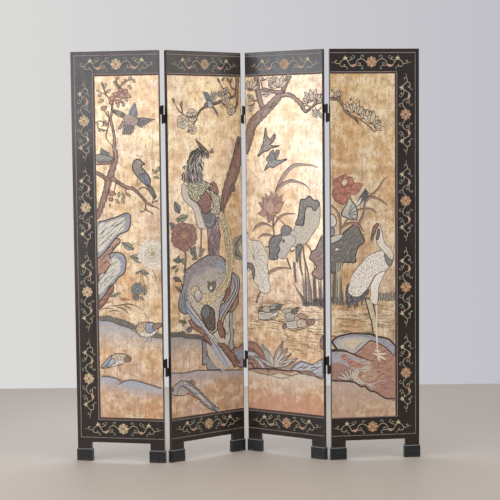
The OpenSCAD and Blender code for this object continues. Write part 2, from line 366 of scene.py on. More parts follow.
def bare_metal(name, shade, roughness):
    """Small turned fasteners, dulled by handling."""
    material, tree, surface, place = shader(name)
    dull = limits(tree, noise(tree, place, 0.002), 0.4, 0.7, 0.0, 0.5)
    feed(surface, {"Base Color": mixed(tree, dull, rgba(shade), rgba("#3a322b")), "Metallic": 1.0,
        "Roughness": roughness})
    return material


def sawn_wood():
    """Plain sawn wood of the hidden core, with upright grain."""
    material, tree, surface, place = shader("sawn_wood")
    grain = limits(tree, noise(tree, place, 0.004, 4.0, (1, 1, 30)), 0.3, 0.7)
    feed(surface, {"Base Color": mixed(tree, grain, rgba("#8a6642"), rgba("#c39a69")), "Roughness": 0.7})
    return material


def paint_node(name, material):
    """Gives a carried-over node its finish."""
    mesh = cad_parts[name].data
    mesh.materials.clear()
    mesh.materials.append(material)


# ---------------------------------------------------------------- meshes

def finished(name, mesh, place, matrix, material):
    """Places a mesh made on a panel's face, gives it the panel's coordinates as UV (each panel
    further along, so that no two have the same mottling), and makes it ride."""
    layer = mesh.uv_layers.new(name="panel") if "panel" not in mesh.uv_layers else mesh.uv_layers["panel"]
    for loop in mesh.loops:
        spot = mesh.vertices[loop.vertex_index].co
        layer.data[loop.index].uv = (spot.x + PATTERN_SHIFT * place.number, spot.y)
    mesh.transform(matrix)
    mesh.name = name
    mesh.materials.clear()
    mesh.materials.append(material)
    piece = linked(name, mesh)
    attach(piece, place.body)
    return piece


def plain_mesh(name, corners, faces):
    """A mesh from its points and the faces between them."""
    mesh = bpy.data.meshes.new(name)
    mesh.from_pydata(corners, [], faces)
    mesh.validate()
    return mesh


def prisms(name, *parts):
    """A mesh of upright prisms, each given as its outline with its low and high level."""
    corners, faces = [], []
    for outline, low, high in parts:
        first, count = len(corners), len(outline)
        corners += [(x, y, high) for x, y in outline] + [(x, y, low) for x, y in outline]
        top = [first + i for i in range(count)]
        faces += [tuple(top), tuple(i + count for i in reversed(top))]
        faces += [(top[i], top[i - 1], top[i - 1] + count, top[i] + count) for i in range(count)]
    return plain_mesh(name, corners, faces)


def linked(name, data):
    """A new object in the scene with that mesh, lamp or camera."""
    made = bpy.data.objects.new(name, data)
    bpy.context.scene.collection.objects.link(made)
    return made


def applied(piece):
    """The plain mesh that a piece's modifiers make, with the modifiers and the piece gone."""
    bpy.context.view_layer.update()
    result = bpy.data.meshes.new_from_object(piece.evaluated_get(bpy.context.evaluated_depsgraph_get()))
    bpy.data.objects.remove(piece)
    return result


def leaf_recesses(place):
    """Boxes round the parts of the hinge leaves inside a panel's edges, in the panel's own frame."""
    into = place.front_matrix().inverted()
    # What lies nearer to the panel's edge than margin isn't inside it. A box that comes nearer to a face
    # than skin opens on it, and goes past it by overcut.
    margin, skin, overcut = 0.0004, 0.002, 0.004
    boxes = []
    for side in ("left", "right"):
        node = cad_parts.get(f"{place.body}_{side}_leaves")
        if node is None:
            continue
        inside = [p for p in (into @ v.co for v in node.data.vertices) if margin < p.x < place.width
            - margin]
        for low_half in (True, False):
            half = [p for p in inside if (p.y < place.height / 2) == low_half]
            x = (-overcut, max(p.x for p in half)) if side == "left" else (min(p.x for p in half),
                place.width + overcut)
            z = [min(p.z for p in half), max(p.z for p in half)]
            if z[1] > -skin:
                z[1] = overcut
            if z[0] < skin - place.thickness:
                z[0] = -place.thickness - overcut
            boxes.append((x, (min(p.y for p in half), max(p.y for p in half)), z))
    return boxes


def lacquer_body(place, material):
    """One panel's lacquered wood: frame, boards and legs under one skin, with softened arrises and the
    hinge leaves' recesses."""
    squared = 0.999
    w, top, rail, foot, leg = place.width, place.height, place.rail, place.foot, place.leg
    outline = [(0, foot), (leg, foot), (leg, rail), (w - leg, rail), (w - leg, foot), (w, foot), (w, top),
        (0, top)]
    body = linked("body", prisms("body", (outline, -place.thickness, 0.0)))
    bevel = body.modifiers.new("arris", "BEVEL")
    bevel.width, bevel.segments, bevel.limit_method = sizes().arris, 3, "ANGLE"
    body = linked("body", applied(body))
    arris = body.data.attributes.new("arris", "FLOAT", "FACE")
    for face in body.data.polygons:
        arris.data[face.index].value = 1.0 if max(abs(c) for c in face.normal) < squared else 0.0
    cutter = linked("cutter", prisms("cutter", *(([(x[0], y[0]), (x[1], y[0]), (x[1], y[1]), (x[0], y[1])],
        *z) for x, y, z in leaf_recesses(place))))
    cut = body.modifiers.new("recesses", "BOOLEAN")
    cut.object, cut.operation, cut.solver = cutter, "DIFFERENCE", "EXACT"
    mesh = applied(body)
    bpy.data.objects.remove(cutter)
    piece = finished(f"{place.body}_lacquer", mesh, place, place.front_matrix(), material)
    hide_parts(*(f"{place.body}_{part}" for part in ("left_stile", "right_stile", "top_rail",
        "bottom_rail", "front_board", "back_board")))
    return piece


def smooth(points, closed, gap):
    """A smooth curve through points, with points about gap apart (Catmull-Rom)."""
    most_steps = 24
    knots = route(points)
    count = len(knots)
    made = []
    for i in range(count if closed else count - 1):
        b, c = knots[i], knots[(i + 1) % count]
        a = knots[i - 1] if closed or i else b + (b - c)
        d = knots[(i + 2) % count] if closed or i + 2 < count else c + (c - b)
        steps = max(1, min(most_steps, round((c - b).length / gap)))
        for step in range(steps):
            t = step / steps
            made.append(0.5 * (2 * b + (c - a) * t + (2 * a - 5 * b + 4 * c - d) * t * t + (3 * b - a - 3 * c
                + d) * t ** 3))
    return made if closed else made + [knots[-1]]


def strip_outline(points, width):
    """The outline of a flat strip along a path of straight runs, with mitred corners."""
    path = [Vector(p) for p in points]
    sides = ([], [])
    for i, spot in enumerate(path):
        before = (spot - path[i - 1]).normalized() if i else None
        after = (path[i + 1] - spot).normalized() if i + 1 < len(path) else None
        run = before or after
        normal = Vector((-run.y, run.x))
        if before and after:
            other = Vector((-after.y, after.x))
            normal = (normal + other) / (1 + normal.dot(other))
        for side, sign in zip(sides, (1, -1)):
            side.append(tuple(spot + normal * sign * width / 2))
    outline = sides[0] + sides[1][::-1]
    area = sum(a[0] * b[1] - b[0] * a[1] for a, b in zip(outline, outline[1:] + outline[:1]))
    return outline if area > 0 else outline[::-1]


class FaceLayout:
    """Where a panel's border lines, band and gold run, in metres on its face."""

    def __init__(self, place):
        s = sizes()
        # In metres: from the arris to lines that end at it, the gold's extra gap at the foot, what it has
        # less at the top, and how far the band goes on under the gold.
        clear, more_foot, less_top, underlap = 0.0004, 0.0012, 0.0008, 0.002
        self.first, self.last = place.number == PANELS[0], place.number == PANELS[-1]
        w, top, foot = place.width, place.height, place.rail + s.inner_foot
        lip = s.arris + clear
        self.lines = []
        for side, low in ((s.outer_line, place.rail + s.outer_foot), (s.inner_line, foot)):
            self.lines += self.runs(side if self.first else lip, low, w - side if self.last else w - lip,
                top - side)
        gap = s.inner_line + s.gold_gap
        self.gold = (gap if self.first else s.gold_edge, foot + s.gold_gap + more_foot,
            w - (gap if self.last else s.gold_edge), top - gap + less_top)
        edge = s.inner_line + s.line_w / 2
        self.band_w = max(self.gold[1] - foot, top - edge - self.gold[3]) + underlap
        middle = edge + self.band_w / 2
        self.band = self.runs(middle if self.first else lip, foot + self.band_w / 2,
            w - (middle if self.last else lip), top - middle)

    def runs(self, left, low, right, high):
        """Straight runs round the gold: joined at the screen's two ends, open where panels meet."""
        if self.first:
            return [[(right, low), (left, low), (left, high), (right, high)]]
        if self.last:
            return [[(left, high), (right, high), (right, low), (left, low)]]
        return [[(left, high), (right, high)], [(left, low), (right, low)]]


def gilding(place, layout, material):
    """The gilded ground: a thin sheet with hand-cut edges. A point every cut (in metres) wanders inwards."""
    cut, wander = 0.02, 0.0003
    rng = random.Random(sizes().seed + place.number)
    x0, y0, x1, y1 = layout.gold
    knots = route([(x0, y0), (x1, y0), (x1, y1), (x0, y1)])
    outline = []
    for a, b in zip(knots, knots[1:] + knots[:1]):
        steps = round((b - a).length / cut)
        inward = Vector((a.y - b.y, b.x - a.x)).normalized()
        outline += [tuple(a.lerp(b, i / steps) + inward * rng.uniform(0, wander) * (i > 0)) for i
            in range(steps)]
    mesh = prisms("gilding", (outline, -SINK, sizes().gold_t))
    finished(f"{place.body}_gilding", mesh, place, place.front_matrix(), material)


def border_lines(place, layout, line_material, band_material):
    """The painted outlines of the border, and the dark band between the inner one and the gold."""
    for name, runs, width, high, material in (("border_lines", layout.lines, sizes().line_w, 0.00022,
            line_material), ("border_band", layout.band, layout.band_w, 0.00012, band_material)):
        mesh = prisms(name, *((strip_outline(run, width), -SINK, high) for run in runs))
        finished(f"{place.body}_{name}", mesh, place, place.front_matrix(), material)


# ---------------------------------------------------------------- painted shapes and raised lines

INK, WHITE = "#2b221d", "#e8e2d6"
MAUVE_BARK = ("#5d4238", "#86604f", "#9b7461", "#7a584a", "#533a32")
BROWN_BARK = ("#4f3c2e", "#7a5f4a", "#8f735a", "#6e5643", "#473529")
RED_BARK = ("#56382f", "#774e44", "#87594c", "#6e473e", "#4a2f29")


def blended(first, second, share):
    """A linear colour part of the way from one hex colour to another."""
    return tuple(a + (b - a) * share for a, b in zip(linear(first), linear(second)))


def as_linear(shade):
    """A hex colour as linear, or a linear one as it is."""
    return linear(shade) if isinstance(shade, str) else shade


def route(points):
    """Points as vectors. They may be written as "x,y x,y ..." in millimetres."""
    if isinstance(points, str):
        return [Vector([float(c) for c in spot.split(",")]) for spot in points.split()]
    return [Vector(p[:2]) for p in points]


def point(spot):
    """One point as a vector, which may be written as "x,y"."""
    return route(spot)[0] if isinstance(spot, str) else Vector(spot[:2])


def turned(vector, angle):
    """A vector turned anticlockwise by an angle in radians."""
    c, s = math.cos(angle), math.sin(angle)
    return Vector((vector.x * c - vector.y * s, vector.x * s + vector.y * c))


class Picture:
    """The painted shapes and raised lines of one group of motifs, in millimetres on a panel's face. Each
    shape lies one step above the shape before it, so what is painted later covers what is under it. Nothing
    goes past the two sides. A shape is kept as a fill (outline, level, its points' colours and covers, the
    middle's colour and cover) or as a band (rows of points, level, columns' colours, dome)."""

    UNDERSIDE = 0.02  # level of every shape's lower face
    FLAT_CROWN = 0.012  # height of a drawn line that doesn't stand proud
    SAME_SPOT = 0.05  # points of an outline that are nearer together than this count as one

    def __init__(self, seed, sides=(-200, 200)):
        self.rng = random.Random(seed)
        self.sides = sides
        self.level = 0.0
        self.shapes = []
        self.lines = []

    def at(self, level):
        """Starts a motif at a height in millimetres over the gilding."""
        self.level = sizes().gold_t / MM + level
        return self

    def up(self, steps=1):
        """Raises what follows by so many paint steps."""
        self.level += steps * sizes().step / MM

    def fill(self, points, shade, other=None, core=None, cover=1.0, fade=None, sharp=False, gap=4.0):
        """A closed painted shape. other is the colour that it grades into at its top; core gives the middle
        its own colour; fade=(start, end) thins the paint away between two points."""
        self.up()
        loop = route(points) if sharp else smooth(points, True, gap)
        loop = [Vector((min(max(q.x, self.sides[0]), self.sides[1]), q.y)) for q in loop]
        loop = [q for i, q in enumerate(loop) if (q - loop[i - 1]).length > self.SAME_SPOT]
        if len(loop) < 3:
            return loop
        area = sum(a.x * b.y - b.x * a.y for a, b in zip(loop, loop[1:] + loop[:1]))
        if area < 0:
            loop.reverse()
        base, far = as_linear(shade), as_linear(other or shade)
        low, high = min(q.y for q in loop), max(q.y for q in loop)
        paints, covers = [], []
        for spot in loop:
            rise = (spot.y - low) / (high - low)
            paints.append(tuple(a + (b - a) * rise for a, b in zip(base, far)))
            covers.append(cover * (1.0 - (self.share(spot, fade) if fade else 0.0)))
        self.shapes.append(("fill", loop, self.level, paints, covers, as_linear(core) if core else None,
            cover))
        return loop

    @staticmethod
    def share(spot, run):
        """How far along a run from one point to another a spot lies, from 0 to 1."""
        start, end = route(run)
        along = end - start
        return max(0.0, min(1.0, (spot - start).dot(along) / along.length_squared))

    def line(self, points, width, shade, end=None, taper=(1.0, 1.0), raised=False, gap=4.0, straight=False):
        """A drawn line, with those colours at its start and end. taper gives the width's share at its two
        ends; a raised one stands proud."""
        path = route(points) if straight else smooth(points, False, gap)
        path = [q for q in path if self.sides[0] <= q.x <= self.sides[1]]
        count = len(path) - 1
        if count < 1:
            return
        # A longer jump than this is where the sides cut something off, and the line ends at it.
        jump = max(30.0, 3 * gap)
        a, b = as_linear(shade), as_linear(end or shade)
        width *= sizes().ink if shade == INK else 1.0
        made = []
        for i, spot in enumerate(path):
            if i and (spot - path[i - 1]).length > jump and not straight:
                break
            t = i / count
            tip = taper[0] if t < 0.5 else taper[1]
            full = tip + (1 - tip) * min(1.0, min(t, 1 - t) * 2.5)
            made.append((spot.x, spot.y, width * full / 2, tuple(p + (q - p) * t for p, q in zip(a, b)),
                self.level, sizes().crown / MM if raised else self.FLAT_CROWN))
        self.lines.append(made)

    def outline(self, loop, width, shade):
        """Draws round a loop that fill gave back."""
        self.line(list(loop) + [loop[0], loop[1]], width, shade, straight=True)

    def dot(self, spot, radius, shade, sides=8):
        """A small painted polygon."""
        ring = [point(spot) + turned(Vector((radius, 0)), 2 * math.pi * i / sides) for i in range(sides)]
        self.fill(ring, shade, sharp=True)

    def band(self, points, widths, shades, wobble=0.0, dome=0.0):
        """A ribbon along a path, several strips wide, such as a trunk: shades run across it from left to
        right of its run, and widths are spread evenly along it. Its middle stands proud by the dome, and
        what follows starts above that."""
        self.up()
        path = smooth(points, False, 5.0)
        count = len(path) - 1
        columns = len(shades)
        phase = self.rng.uniform(0, 6)
        rows = []
        for i, spot in enumerate(path):
            ahead = (path[min(i + 1, count)] - path[max(i - 1, 0)]).normalized()
            normal = Vector((-ahead.y, ahead.x))
            t = i / count * (len(widths) - 1)
            j = min(int(t), len(widths) - 2)
            width = widths[j] + (widths[j + 1] - widths[j]) * (t - j)
            rows.append([spot + normal * width * (0.5 - c / (columns - 1)) + normal * wobble
                * math.sin(i * 1.3 + phase + 2.2 * (c == 0)) * (c in (0, columns - 1)) for c
                in range(columns)])
            for q in rows[-1]:
                q.x = min(max(q.x, self.sides[0]), self.sides[1])
        self.shapes.append(("band", rows, self.level, [as_linear(s) for s in shades], dome))
        self.level += dome
        return rows

    def band_faces(self, push, rows, level, shades, dome):
        """A band's faces, with its points pushed into the mesh."""
        last = len(shades) - 1
        top, under, faces = [], [], []
        for row in rows:
            top.append([push(spot, level + dome * (1 - (2 * c / last - 1) ** 2), shades[c]) for c,
                spot in enumerate(row)])
            under.append([push(row[c], self.UNDERSIDE, shades[c]) for c in (0, -1)])
        for (a, under_a), (b, under_b) in zip(zip(top, under), zip(top[1:], under[1:])):
            faces += [(a[c], a[c + 1], b[c + 1], b[c]) for c in range(last)]
            faces.append((under_a[0], a[0], b[0], under_b[0]))
            faces.append((a[-1], under_a[1], under_b[1], b[-1]))
            faces.append((under_a[1], under_a[0], under_b[0], under_b[1]))
        faces.append((*under[0], *reversed(top[0])))
        faces.append((*reversed(under[-1]), *top[-1]))
        return faces

    def fill_faces(self, push, loop, level, shades, covers, core, cover):
        """A filled shape's faces, with its points pushed into the mesh."""
        rim = [push(spot, level, *paint) for spot, *paint in zip(loop, shades, covers)]
        under = [push(spot, self.UNDERSIDE, *paint) for spot, *paint in zip(loop, shades, covers)]
        ahead, under_ahead = rim[1:] + rim[:1], under[1:] + under[:1]
        if core:
            centre = push(sum(loop, Vector((0, 0))) / len(loop), level, core, cover)
            faces = [(a, b, centre) for a, b in zip(rim, ahead)]
        else:
            faces = [tuple(rim)]
        faces.append(tuple(reversed(under)))
        return faces + [(b, a, c, d) for a, b, c, d in zip(rim, ahead, under, under_ahead)]

    def fill_mesh(self, name):
        """The painted shapes as one mesh of closed bodies, whose points carry their paint and cover."""
        corners, faces, paints, covers = [], [], [], []

        def push(spot, z, paint, cover=1.0):
            corners.append((spot.x * MM, spot.y * MM, z * MM))
            paints.append((*paint, 1.0))
            covers.append(cover)
            return len(corners) - 1

        for kind, *given in self.shapes:
            faces += self.band_faces(push, *given) if kind == "band" else self.fill_faces(push, *given)
        mesh = plain_mesh(name, corners, faces)
        paint = mesh.attributes.new("paint", "FLOAT_COLOR", "POINT")
        paint.data.foreach_set("color", [c for p in paints for c in p])
        mesh.attributes.new("cover", "FLOAT", "POINT").data.foreach_set("value", covers)
        return mesh

    def line_mesh(self, name):
        """The lines as bare edges, with what the raised-line tree needs at each point."""
        corners, edges, paints = [], [], []
        values = {"half_width": [], "lift": [], "crown": []}
        for path in self.lines:
            for i, (x, y, half, paint, lift, crown) in enumerate(path):
                if i:
                    edges.append((len(corners) - 1, len(corners)))
                corners.append((x * MM, y * MM, 0.0))
                paints.append((*paint, 1.0))
                for key, value in zip(values, (half, lift, crown)):
                    values[key].append(value * MM)
        mesh = bpy.data.meshes.new(name)
        mesh.from_pydata(corners, edges, [])
        mesh.attributes.new("paint", "FLOAT_COLOR", "POINT").data.foreach_set("color",
            [c for p in paints for c in p])
        for key, numbers in values.items():
            mesh.attributes.new(key, "FLOAT", "POINT").data.foreach_set("value", numbers)
        return mesh


# ---------------------------------------------------------------- geometry node trees

def new_tree(name, inputs):
    """A geometry node tree with named inputs: its group, input node and output node."""
    tree = bpy.data.node_groups.new(name, "GeometryNodeTree")
    tree.interface.new_socket("Geometry", in_out="INPUT", socket_type="NodeSocketGeometry")
    for label, kind, value in inputs:
        socket = tree.interface.new_socket(label, in_out="INPUT", socket_type=kind)
        if value is not None:
            socket.default_value = value
    tree.interface.new_socket("Geometry", in_out="OUTPUT", socket_type="NodeSocketGeometry")
    return tree, add(tree, "NodeGroupInput"), add(tree, "NodeGroupOutput")


def close_tree(tree, given, out, shapes):
    """Ends a tree by making its instances real and giving them the material that was handed in."""
    whole = add(tree, "GeometryNodeRealizeInstances", {"Geometry": shapes}).outputs[0]
    done = add(tree, "GeometryNodeSetMaterial", {"Geometry": whole, "Material": given.outputs["Material"]})
    tree.links.new(done.outputs[0], out.inputs["Geometry"])
    return tree


def run_tree(mesh, tree, **inputs):
    """The plain mesh that a tree makes of a mesh. Inputs are given by their names with underscores."""
    carrier = linked("carrier", mesh)
    modifier = carrier.modifiers.new("tree", "NODES")
    modifier.node_group = tree
    for item in tree.interface.items_tree:
        key = item.name.lower().replace(" ", "_")
        if item.in_out == "INPUT" and key in inputs:
            modifier[item.identifier] = inputs[key]
    result = applied(carrier)
    bpy.data.meshes.remove(mesh)
    return result


def attribute(tree, name):
    """A number that the points carry, read by name."""
    return add(tree, "GeometryNodeInputNamedAttribute", {"Name": name},
        data_type="FLOAT").outputs["Attribute"]


def raised_line_tree():
    """Turns bare edges into raised lines: each follows its path with the width, height and colour that its
    points carry."""
    tree, given, out = new_tree("raised_lines", (("Sides", "NodeSocketInt", 6), ("Base", "NodeSocketFloat",
        0.0001), ("Material", "NodeSocketMaterial", None)))
    curve = add(tree, "GeometryNodeMeshToCurve", {"Mesh": given.outputs["Geometry"]}).outputs["Curve"]
    upright = add(tree, "GeometryNodeSetCurveNormal", {"Curve": curve}, mode="Z_UP").outputs["Curve"]
    ring = add(tree, "GeometryNodeCurvePrimitiveCircle", {"Resolution": given.outputs["Sides"],
        "Radius": 1.0}).outputs["Curve"]
    tube = add(tree, "GeometryNodeCurveToMesh", {"Curve": upright, "Profile Curve": ring,
        "Scale": attribute(tree, "half_width"), "Fill Caps": True}).outputs["Mesh"]
    here = add(tree, "ShaderNodeSeparateXYZ",
        {0: add(tree, "GeometryNodeInputPosition").outputs["Position"]})
    top = reckoned(tree, "MINIMUM", here.outputs["Z"], attribute(tree, "crown"))
    raised = reckoned(tree, "ADD", top, attribute(tree, "lift"))
    under = reckoned(tree, "LESS_THAN", here.outputs["Z"], -0.00001)
    level = add(tree, "GeometryNodeSwitch", {"Switch": under, "False": raised,
        "True": given.outputs["Base"]}, input_type="FLOAT").outputs["Output"]
    spot = add(tree, "ShaderNodeCombineXYZ", {"X": here.outputs["X"], "Y": here.outputs["Y"],
        "Z": level}).outputs[0]
    flat = add(tree, "GeometryNodeSetPosition", {"Geometry": tube, "Position": spot}).outputs["Geometry"]
    return close_tree(tree, given, out, flat)


def placing_tree():
    """Sets a motif down at every point, turned as the point says. A motif has painted shapes and lines."""
    tree, given, out = new_tree("placed_motifs", (("Shapes", "NodeSocketObject", None),
        ("Lines", "NodeSocketObject", None), ("Material", "NodeSocketMaterial", None)))
    joined = add(tree, "GeometryNodeJoinGeometry")
    for part in ("Shapes", "Lines"):
        tree.links.new(add(tree, "GeometryNodeObjectInfo", {"Object": given.outputs[part]}).outputs[
            "Geometry"], joined.inputs["Geometry"])
    motif = joined.outputs["Geometry"]
    angles = add(tree, "ShaderNodeCombineXYZ", {"Z": attribute(tree, "turn")}).outputs[0]
    turn = add(tree, "FunctionNodeEulerToRotation", {"Euler": angles}).outputs["Rotation"]
    laid = add(tree, "GeometryNodeInstanceOnPoints", {"Points": given.outputs["Geometry"], "Instance": motif,
        "Rotation": turn}).outputs["Instances"]
    return close_tree(tree, given, out, laid)


TREES = {}


def tree_named(name, maker):
    """What a maker makes, made only once under each name."""
    if name not in TREES:
        TREES[name] = maker()
    return TREES[name]


def finish_picture(picture, name, place, matrix, paint, raised):
    """Makes a picture's shapes and lines into two pieces on a panel."""
    finished(f"{place.body}_{name}", picture.fill_mesh(name), place, matrix, paint)
    mesh = run_tree(picture.line_mesh(name), tree_named("lines", raised_line_tree), material=raised)
    finished(f"{place.body}_{name}_lines", mesh, place, matrix, raised)


# ---------------------------------------------------------------- border ornament

SCROLL, SCROLL_PINK, SCROLL_GREEN = "#c3b698", "#b8957f", "#a3ab97"


def leaflet(picture, base, tip, width, shade, bend=0.0, rib=None, edge=None, edge_w=0.6):
    """A pointed leaf from base to tip, with a rib and an edge line where they are given. The bend is how far
    its middle bows out to the left, in millimetres."""
    base, tip = point(base), point(tip)
    along = tip - base
    across = Vector((-along.y, along.x)).normalized()
    bow = across * bend

    def spot(t, side):
        return base + along * t + bow * (4 * t * (1 - t)) + across * side * width / 2

    sides = ((0.12, 0.45), (0.35, 0.95), (0.6, 0.85), (0.84, 0.42))
    loop = [base, *(spot(t, -s) for t, s in sides), tip, *(spot(t, s) for t, s in reversed(sides))]
    made = picture.fill(loop, shade, gap=max(2.5, width / 5))
    if edge:
        picture.outline(made, edge_w, edge)
    if rib:
        picture.line([base, spot(0.35, 0), spot(0.7, 0), tip], max(0.5, width * 0.07), rib, taper=(1.0, 0.4))
    return made


def draw_spray(picture, side):
    """One spray of the running scroll, out to the right (side 1) or left (side -1) of its rosette."""

    def at(points):
        return [(q.x * side, q.y) for q in route(points)]

    for points, width, shade in (("26,1 33,9 42,13 52,13 62,8 68,-2 70,-9", 2.4, SCROLL),
            ("48,13 48,23 44,29 37,29 36,23 41,22", 2.1, SCROLL_GREEN),
            ("68,-14 60,-16 52,-14 50,-7 56,-3 60,-9", 2.1, SCROLL), ("54,-15 44,-18 38,-25 42,-31 47,-27",
            2.1, SCROLL_GREEN), ("96,-13 103,-2 110,8 118,17", 2.4, SCROLL),
            ("112,9 101,7 93,10 87,16 92,22 98,18", 2.1, SCROLL), ("93,10 83,14 76,21 80,28 86,26", 2.1,
            SCROLL_GREEN), ("116,12 128,9 138,0 142,-11 136,-19 124,-19 118,-14 124,-11", 2.4, SCROLL),
            ("124,-19 114,-21 107,-27 112,-32", 2.1, SCROLL_GREEN),
            ("141,-6 150,-8 159,-5 163,2 158,7 153,3", 2.1, SCROLL), ("160,-4 170,-3 179,0", 1.8,
            SCROLL_PINK)):
        picture.line(at(points), width, shade, raised=True)
    leaflet(picture, *at("66,-8 100,-12"), 12, SCROLL_PINK, bend=-7 * side)
    for tip in ("108,22", "119,29", "127,20"):
        leaflet(picture, *at("117,11"), at(tip)[0], 7.5, SCROLL)


def draw_rosette(picture, shades):
    """A rosette of eight notched petals, every other one paler, round an amber heart."""
    for i in range(8):
        a = math.pi * i / 4
        petal = route("4,-1.6 10,-4.2 17,-6.4 23,-5.6 22,-1.8 26,0 22,1.8 23,5.6 17,6.4 10,4.2 4,1.6")
        picture.fill([turned(q, a) for q in petal], shades[i % 2], sharp=True)
        for q in ("9,0 17,0", "14,-2.6 20,-4", "14,2.6 20,4"):
            picture.line([turned(v, a) for v in route(q)], 1.2, "#5e4531", straight=True)
    for radius, shade, corners in ((6.5, "#a8703c", 10), (2.6, "#5a3a26", 8)):
        picture.dot((0, 0), radius, shade, corners)


ROSETTES = {  # rosette centres on each panel, and the direction in which each one's sprays run
    1: ((208, 1771, 0), (214, 149, 0), (58, 1525, 90), (58, 1142, 90), (58, 765, 90), (58, 374, 90)),
    2: ((204, 1772, 0), (202, 151, 0)),
    3: ((210, 1770, 0), (205, 148, 0)),
    4: ((188, 1771, 0), (188, 145, 0), (341, 1540, 90), (341, 1157, 90), (341, 772, 90), (341, 385, 90)),
}
ROSETTE_SHADES = {1: ("#cfbfa3", "#c2a77f"), 2: ("#bfac8e", "#b2936a"), 3: ("#c2a88a", "#ae8a67"),
    4: ("#c5a689", "#b38964")}


def border_ornament(place):
    """Rosettes and mirrored sprays along the border, each motif made once and laid down by the tree."""
    makers = {"rosettes": lambda p: draw_rosette(p, ROSETTE_SHADES[place.number]),
        "sprays_out": lambda p: draw_spray(p, 1), "sprays_back": lambda p: draw_spray(p, -1)}
    material = tree_named("scroll", lambda: thin_lacquer("scroll_lacquer"))
    for name, maker in makers.items():
        picture = Picture(sizes().seed).at(-0.2)
        maker(picture)
        parts = {}
        lines = run_tree(picture.line_mesh("lines"), tree_named("lines", raised_line_tree),
            material=material)
        for key, mesh in (("shapes", picture.fill_mesh("shapes")), ("lines", lines)):
            parts[key] = linked(key, mesh)
        spots = bpy.data.meshes.new("spots")
        spots.from_pydata([(x * MM, y * MM, 0) for x, y, _ in ROSETTES[place.number]], [], [])
        spots.attributes.new("turn", "FLOAT", "POINT").data.foreach_set("value", [math.radians(turn) for _,
            _, turn in ROSETTES[place.number]])
        mesh = run_tree(spots, tree_named("placed", placing_tree), shapes=parts["shapes"],
            lines=parts["lines"], material=material)
        for part in parts.values():
            bpy.data.objects.remove(part)
        finished(f"{place.body}_{name}", mesh, place, place.front_matrix(), material)


# ---------------------------------------------------------------- what the pictures are made of

def inside(spot, loop):
    """Whether a point lies inside a closed loop."""
    hit = False
    for a, b in zip(loop, loop[1:] + loop[:1]):
        if (a[1] > spot[1]) != (b[1] > spot[1]) and (spot[0] < (b[0] - a[0]) * (spot[1] - a[1])
                / (b[1] - a[1]) + a[0]):
            hit = not hit
    return hit


def shrunk(loop, share, shift):
    """A loop drawn together about its middle, then shifted."""
    loop = route(loop)
    middle = sum(loop, Vector((0, 0))) / len(loop)
    return [middle + (p - middle) * share + Vector(shift) for p in loop]


def scattered(p, loop, gap):
    """Spots about gap apart inside a closed loop: the middles of a honeycomb, each moved a little."""
    loop = route(loop)
    xs, ys = [q[0] for q in loop], [q[1] for q in loop]
    stray = 0.38
    row, y = 0, min(ys)
    while y < max(ys):
        x = min(xs) + (gap / 2 if row % 2 else 0)
        while x < max(xs):
            spot = (x + p.rng.uniform(-stray, stray) * gap, y + p.rng.uniform(-stray, stray) * gap)
            if inside(spot, loop):
                yield spot
            x += gap
        y, row = y + gap * 0.87, row + 1


def dots(p, loop, gap, shade, radius):
    """Fills a loop with dots, all at one level."""
    for spot in scattered(p, loop, gap):
        p.dot(spot, radius * p.rng.uniform(0.7, 1.1), shade, 6)
        p.up(-1)
    p.up()


def dabs(p, loop, gap, shade, long, lean=90.0, width=1.3, bow=0.0, spread=12.0):
    """Fills a loop with short strokes. They lean so many degrees, give or take the spread."""
    for spot in scattered(p, loop, gap):
        a = math.radians(lean + p.rng.uniform(-spread, spread))
        step = Vector((math.cos(a), math.sin(a))) * long / 2
        side = Vector((-step.y, step.x)) * bow
        middle = Vector(spot)
        p.line([middle - step, middle + side, middle + step], width, shade, taper=(0.5, 0.5), gap=long / 2)
    p.up()


def streaks(p, rows, count, shades, reach, spill=-0.18, widths=(1.2, 2.2)):
    """Broken lines along a band: bark, hackles or feathers. A spill over 0 lets them leave its edges."""
    for _ in range(count):
        start = p.rng.randrange(max(1, len(rows) - 3))
        end = min(len(rows) - 1, start + p.rng.randrange(reach // 2, reach))
        u = p.rng.uniform(-spill, 1 + spill)
        drift = (u - 0.5) * max(0.0, spill) * 2
        p.line([row[0].lerp(row[-1], u + 0.04 * math.sin(i) + drift * i / reach) for i,
            row in enumerate(rows[start:end + 1])], p.rng.uniform(*widths), p.rng.choice(shades),
            taper=(0.3, 0.3), straight=True)


def limb(p, points, widths, shades, bark):
    """A trunk or branch: rounded, with dark edges and long broken bark lines."""
    rows = p.band(points, widths, shades, wobble=min(1.6, max(widths) * 0.06), dome=0.1)
    for side in (0, -1):
        p.line([row[side] for row in rows], 1.5, INK, straight=True)
    streaks(p, rows, round(bark * len(rows) / 12), (INK, "#4d3832", "#b08d78"), 9)
    p.up(2)


def rolled_edge(p, points, widths, shades, ink):
    """A leaf's edge that is rolled over, with an ink line that wide along its left side."""
    rows = p.band(points, widths, shades, dome=0.05)
    p.line([row[0] for row in rows], ink, INK, straight=True)


def twig(p, points, width, shade="#6d4f42"):
    """A thin raised branch that tapers to its tip."""
    p.line(points, width, shade, taper=(1.0, 0.45), raised=True)


# Half outlines of a petal: how far out, and what share of its half width it has there.
POINTED_PETAL = ((0.1, 0.15), (0.5, 0.75), (0.8, 0.55), (1.1, 0))
NOTCHED_PETAL = ((0.1, 0.3), (0.55, 0.95), (0.85, 0.95), (1.02, 0.5), (0.95, 0))


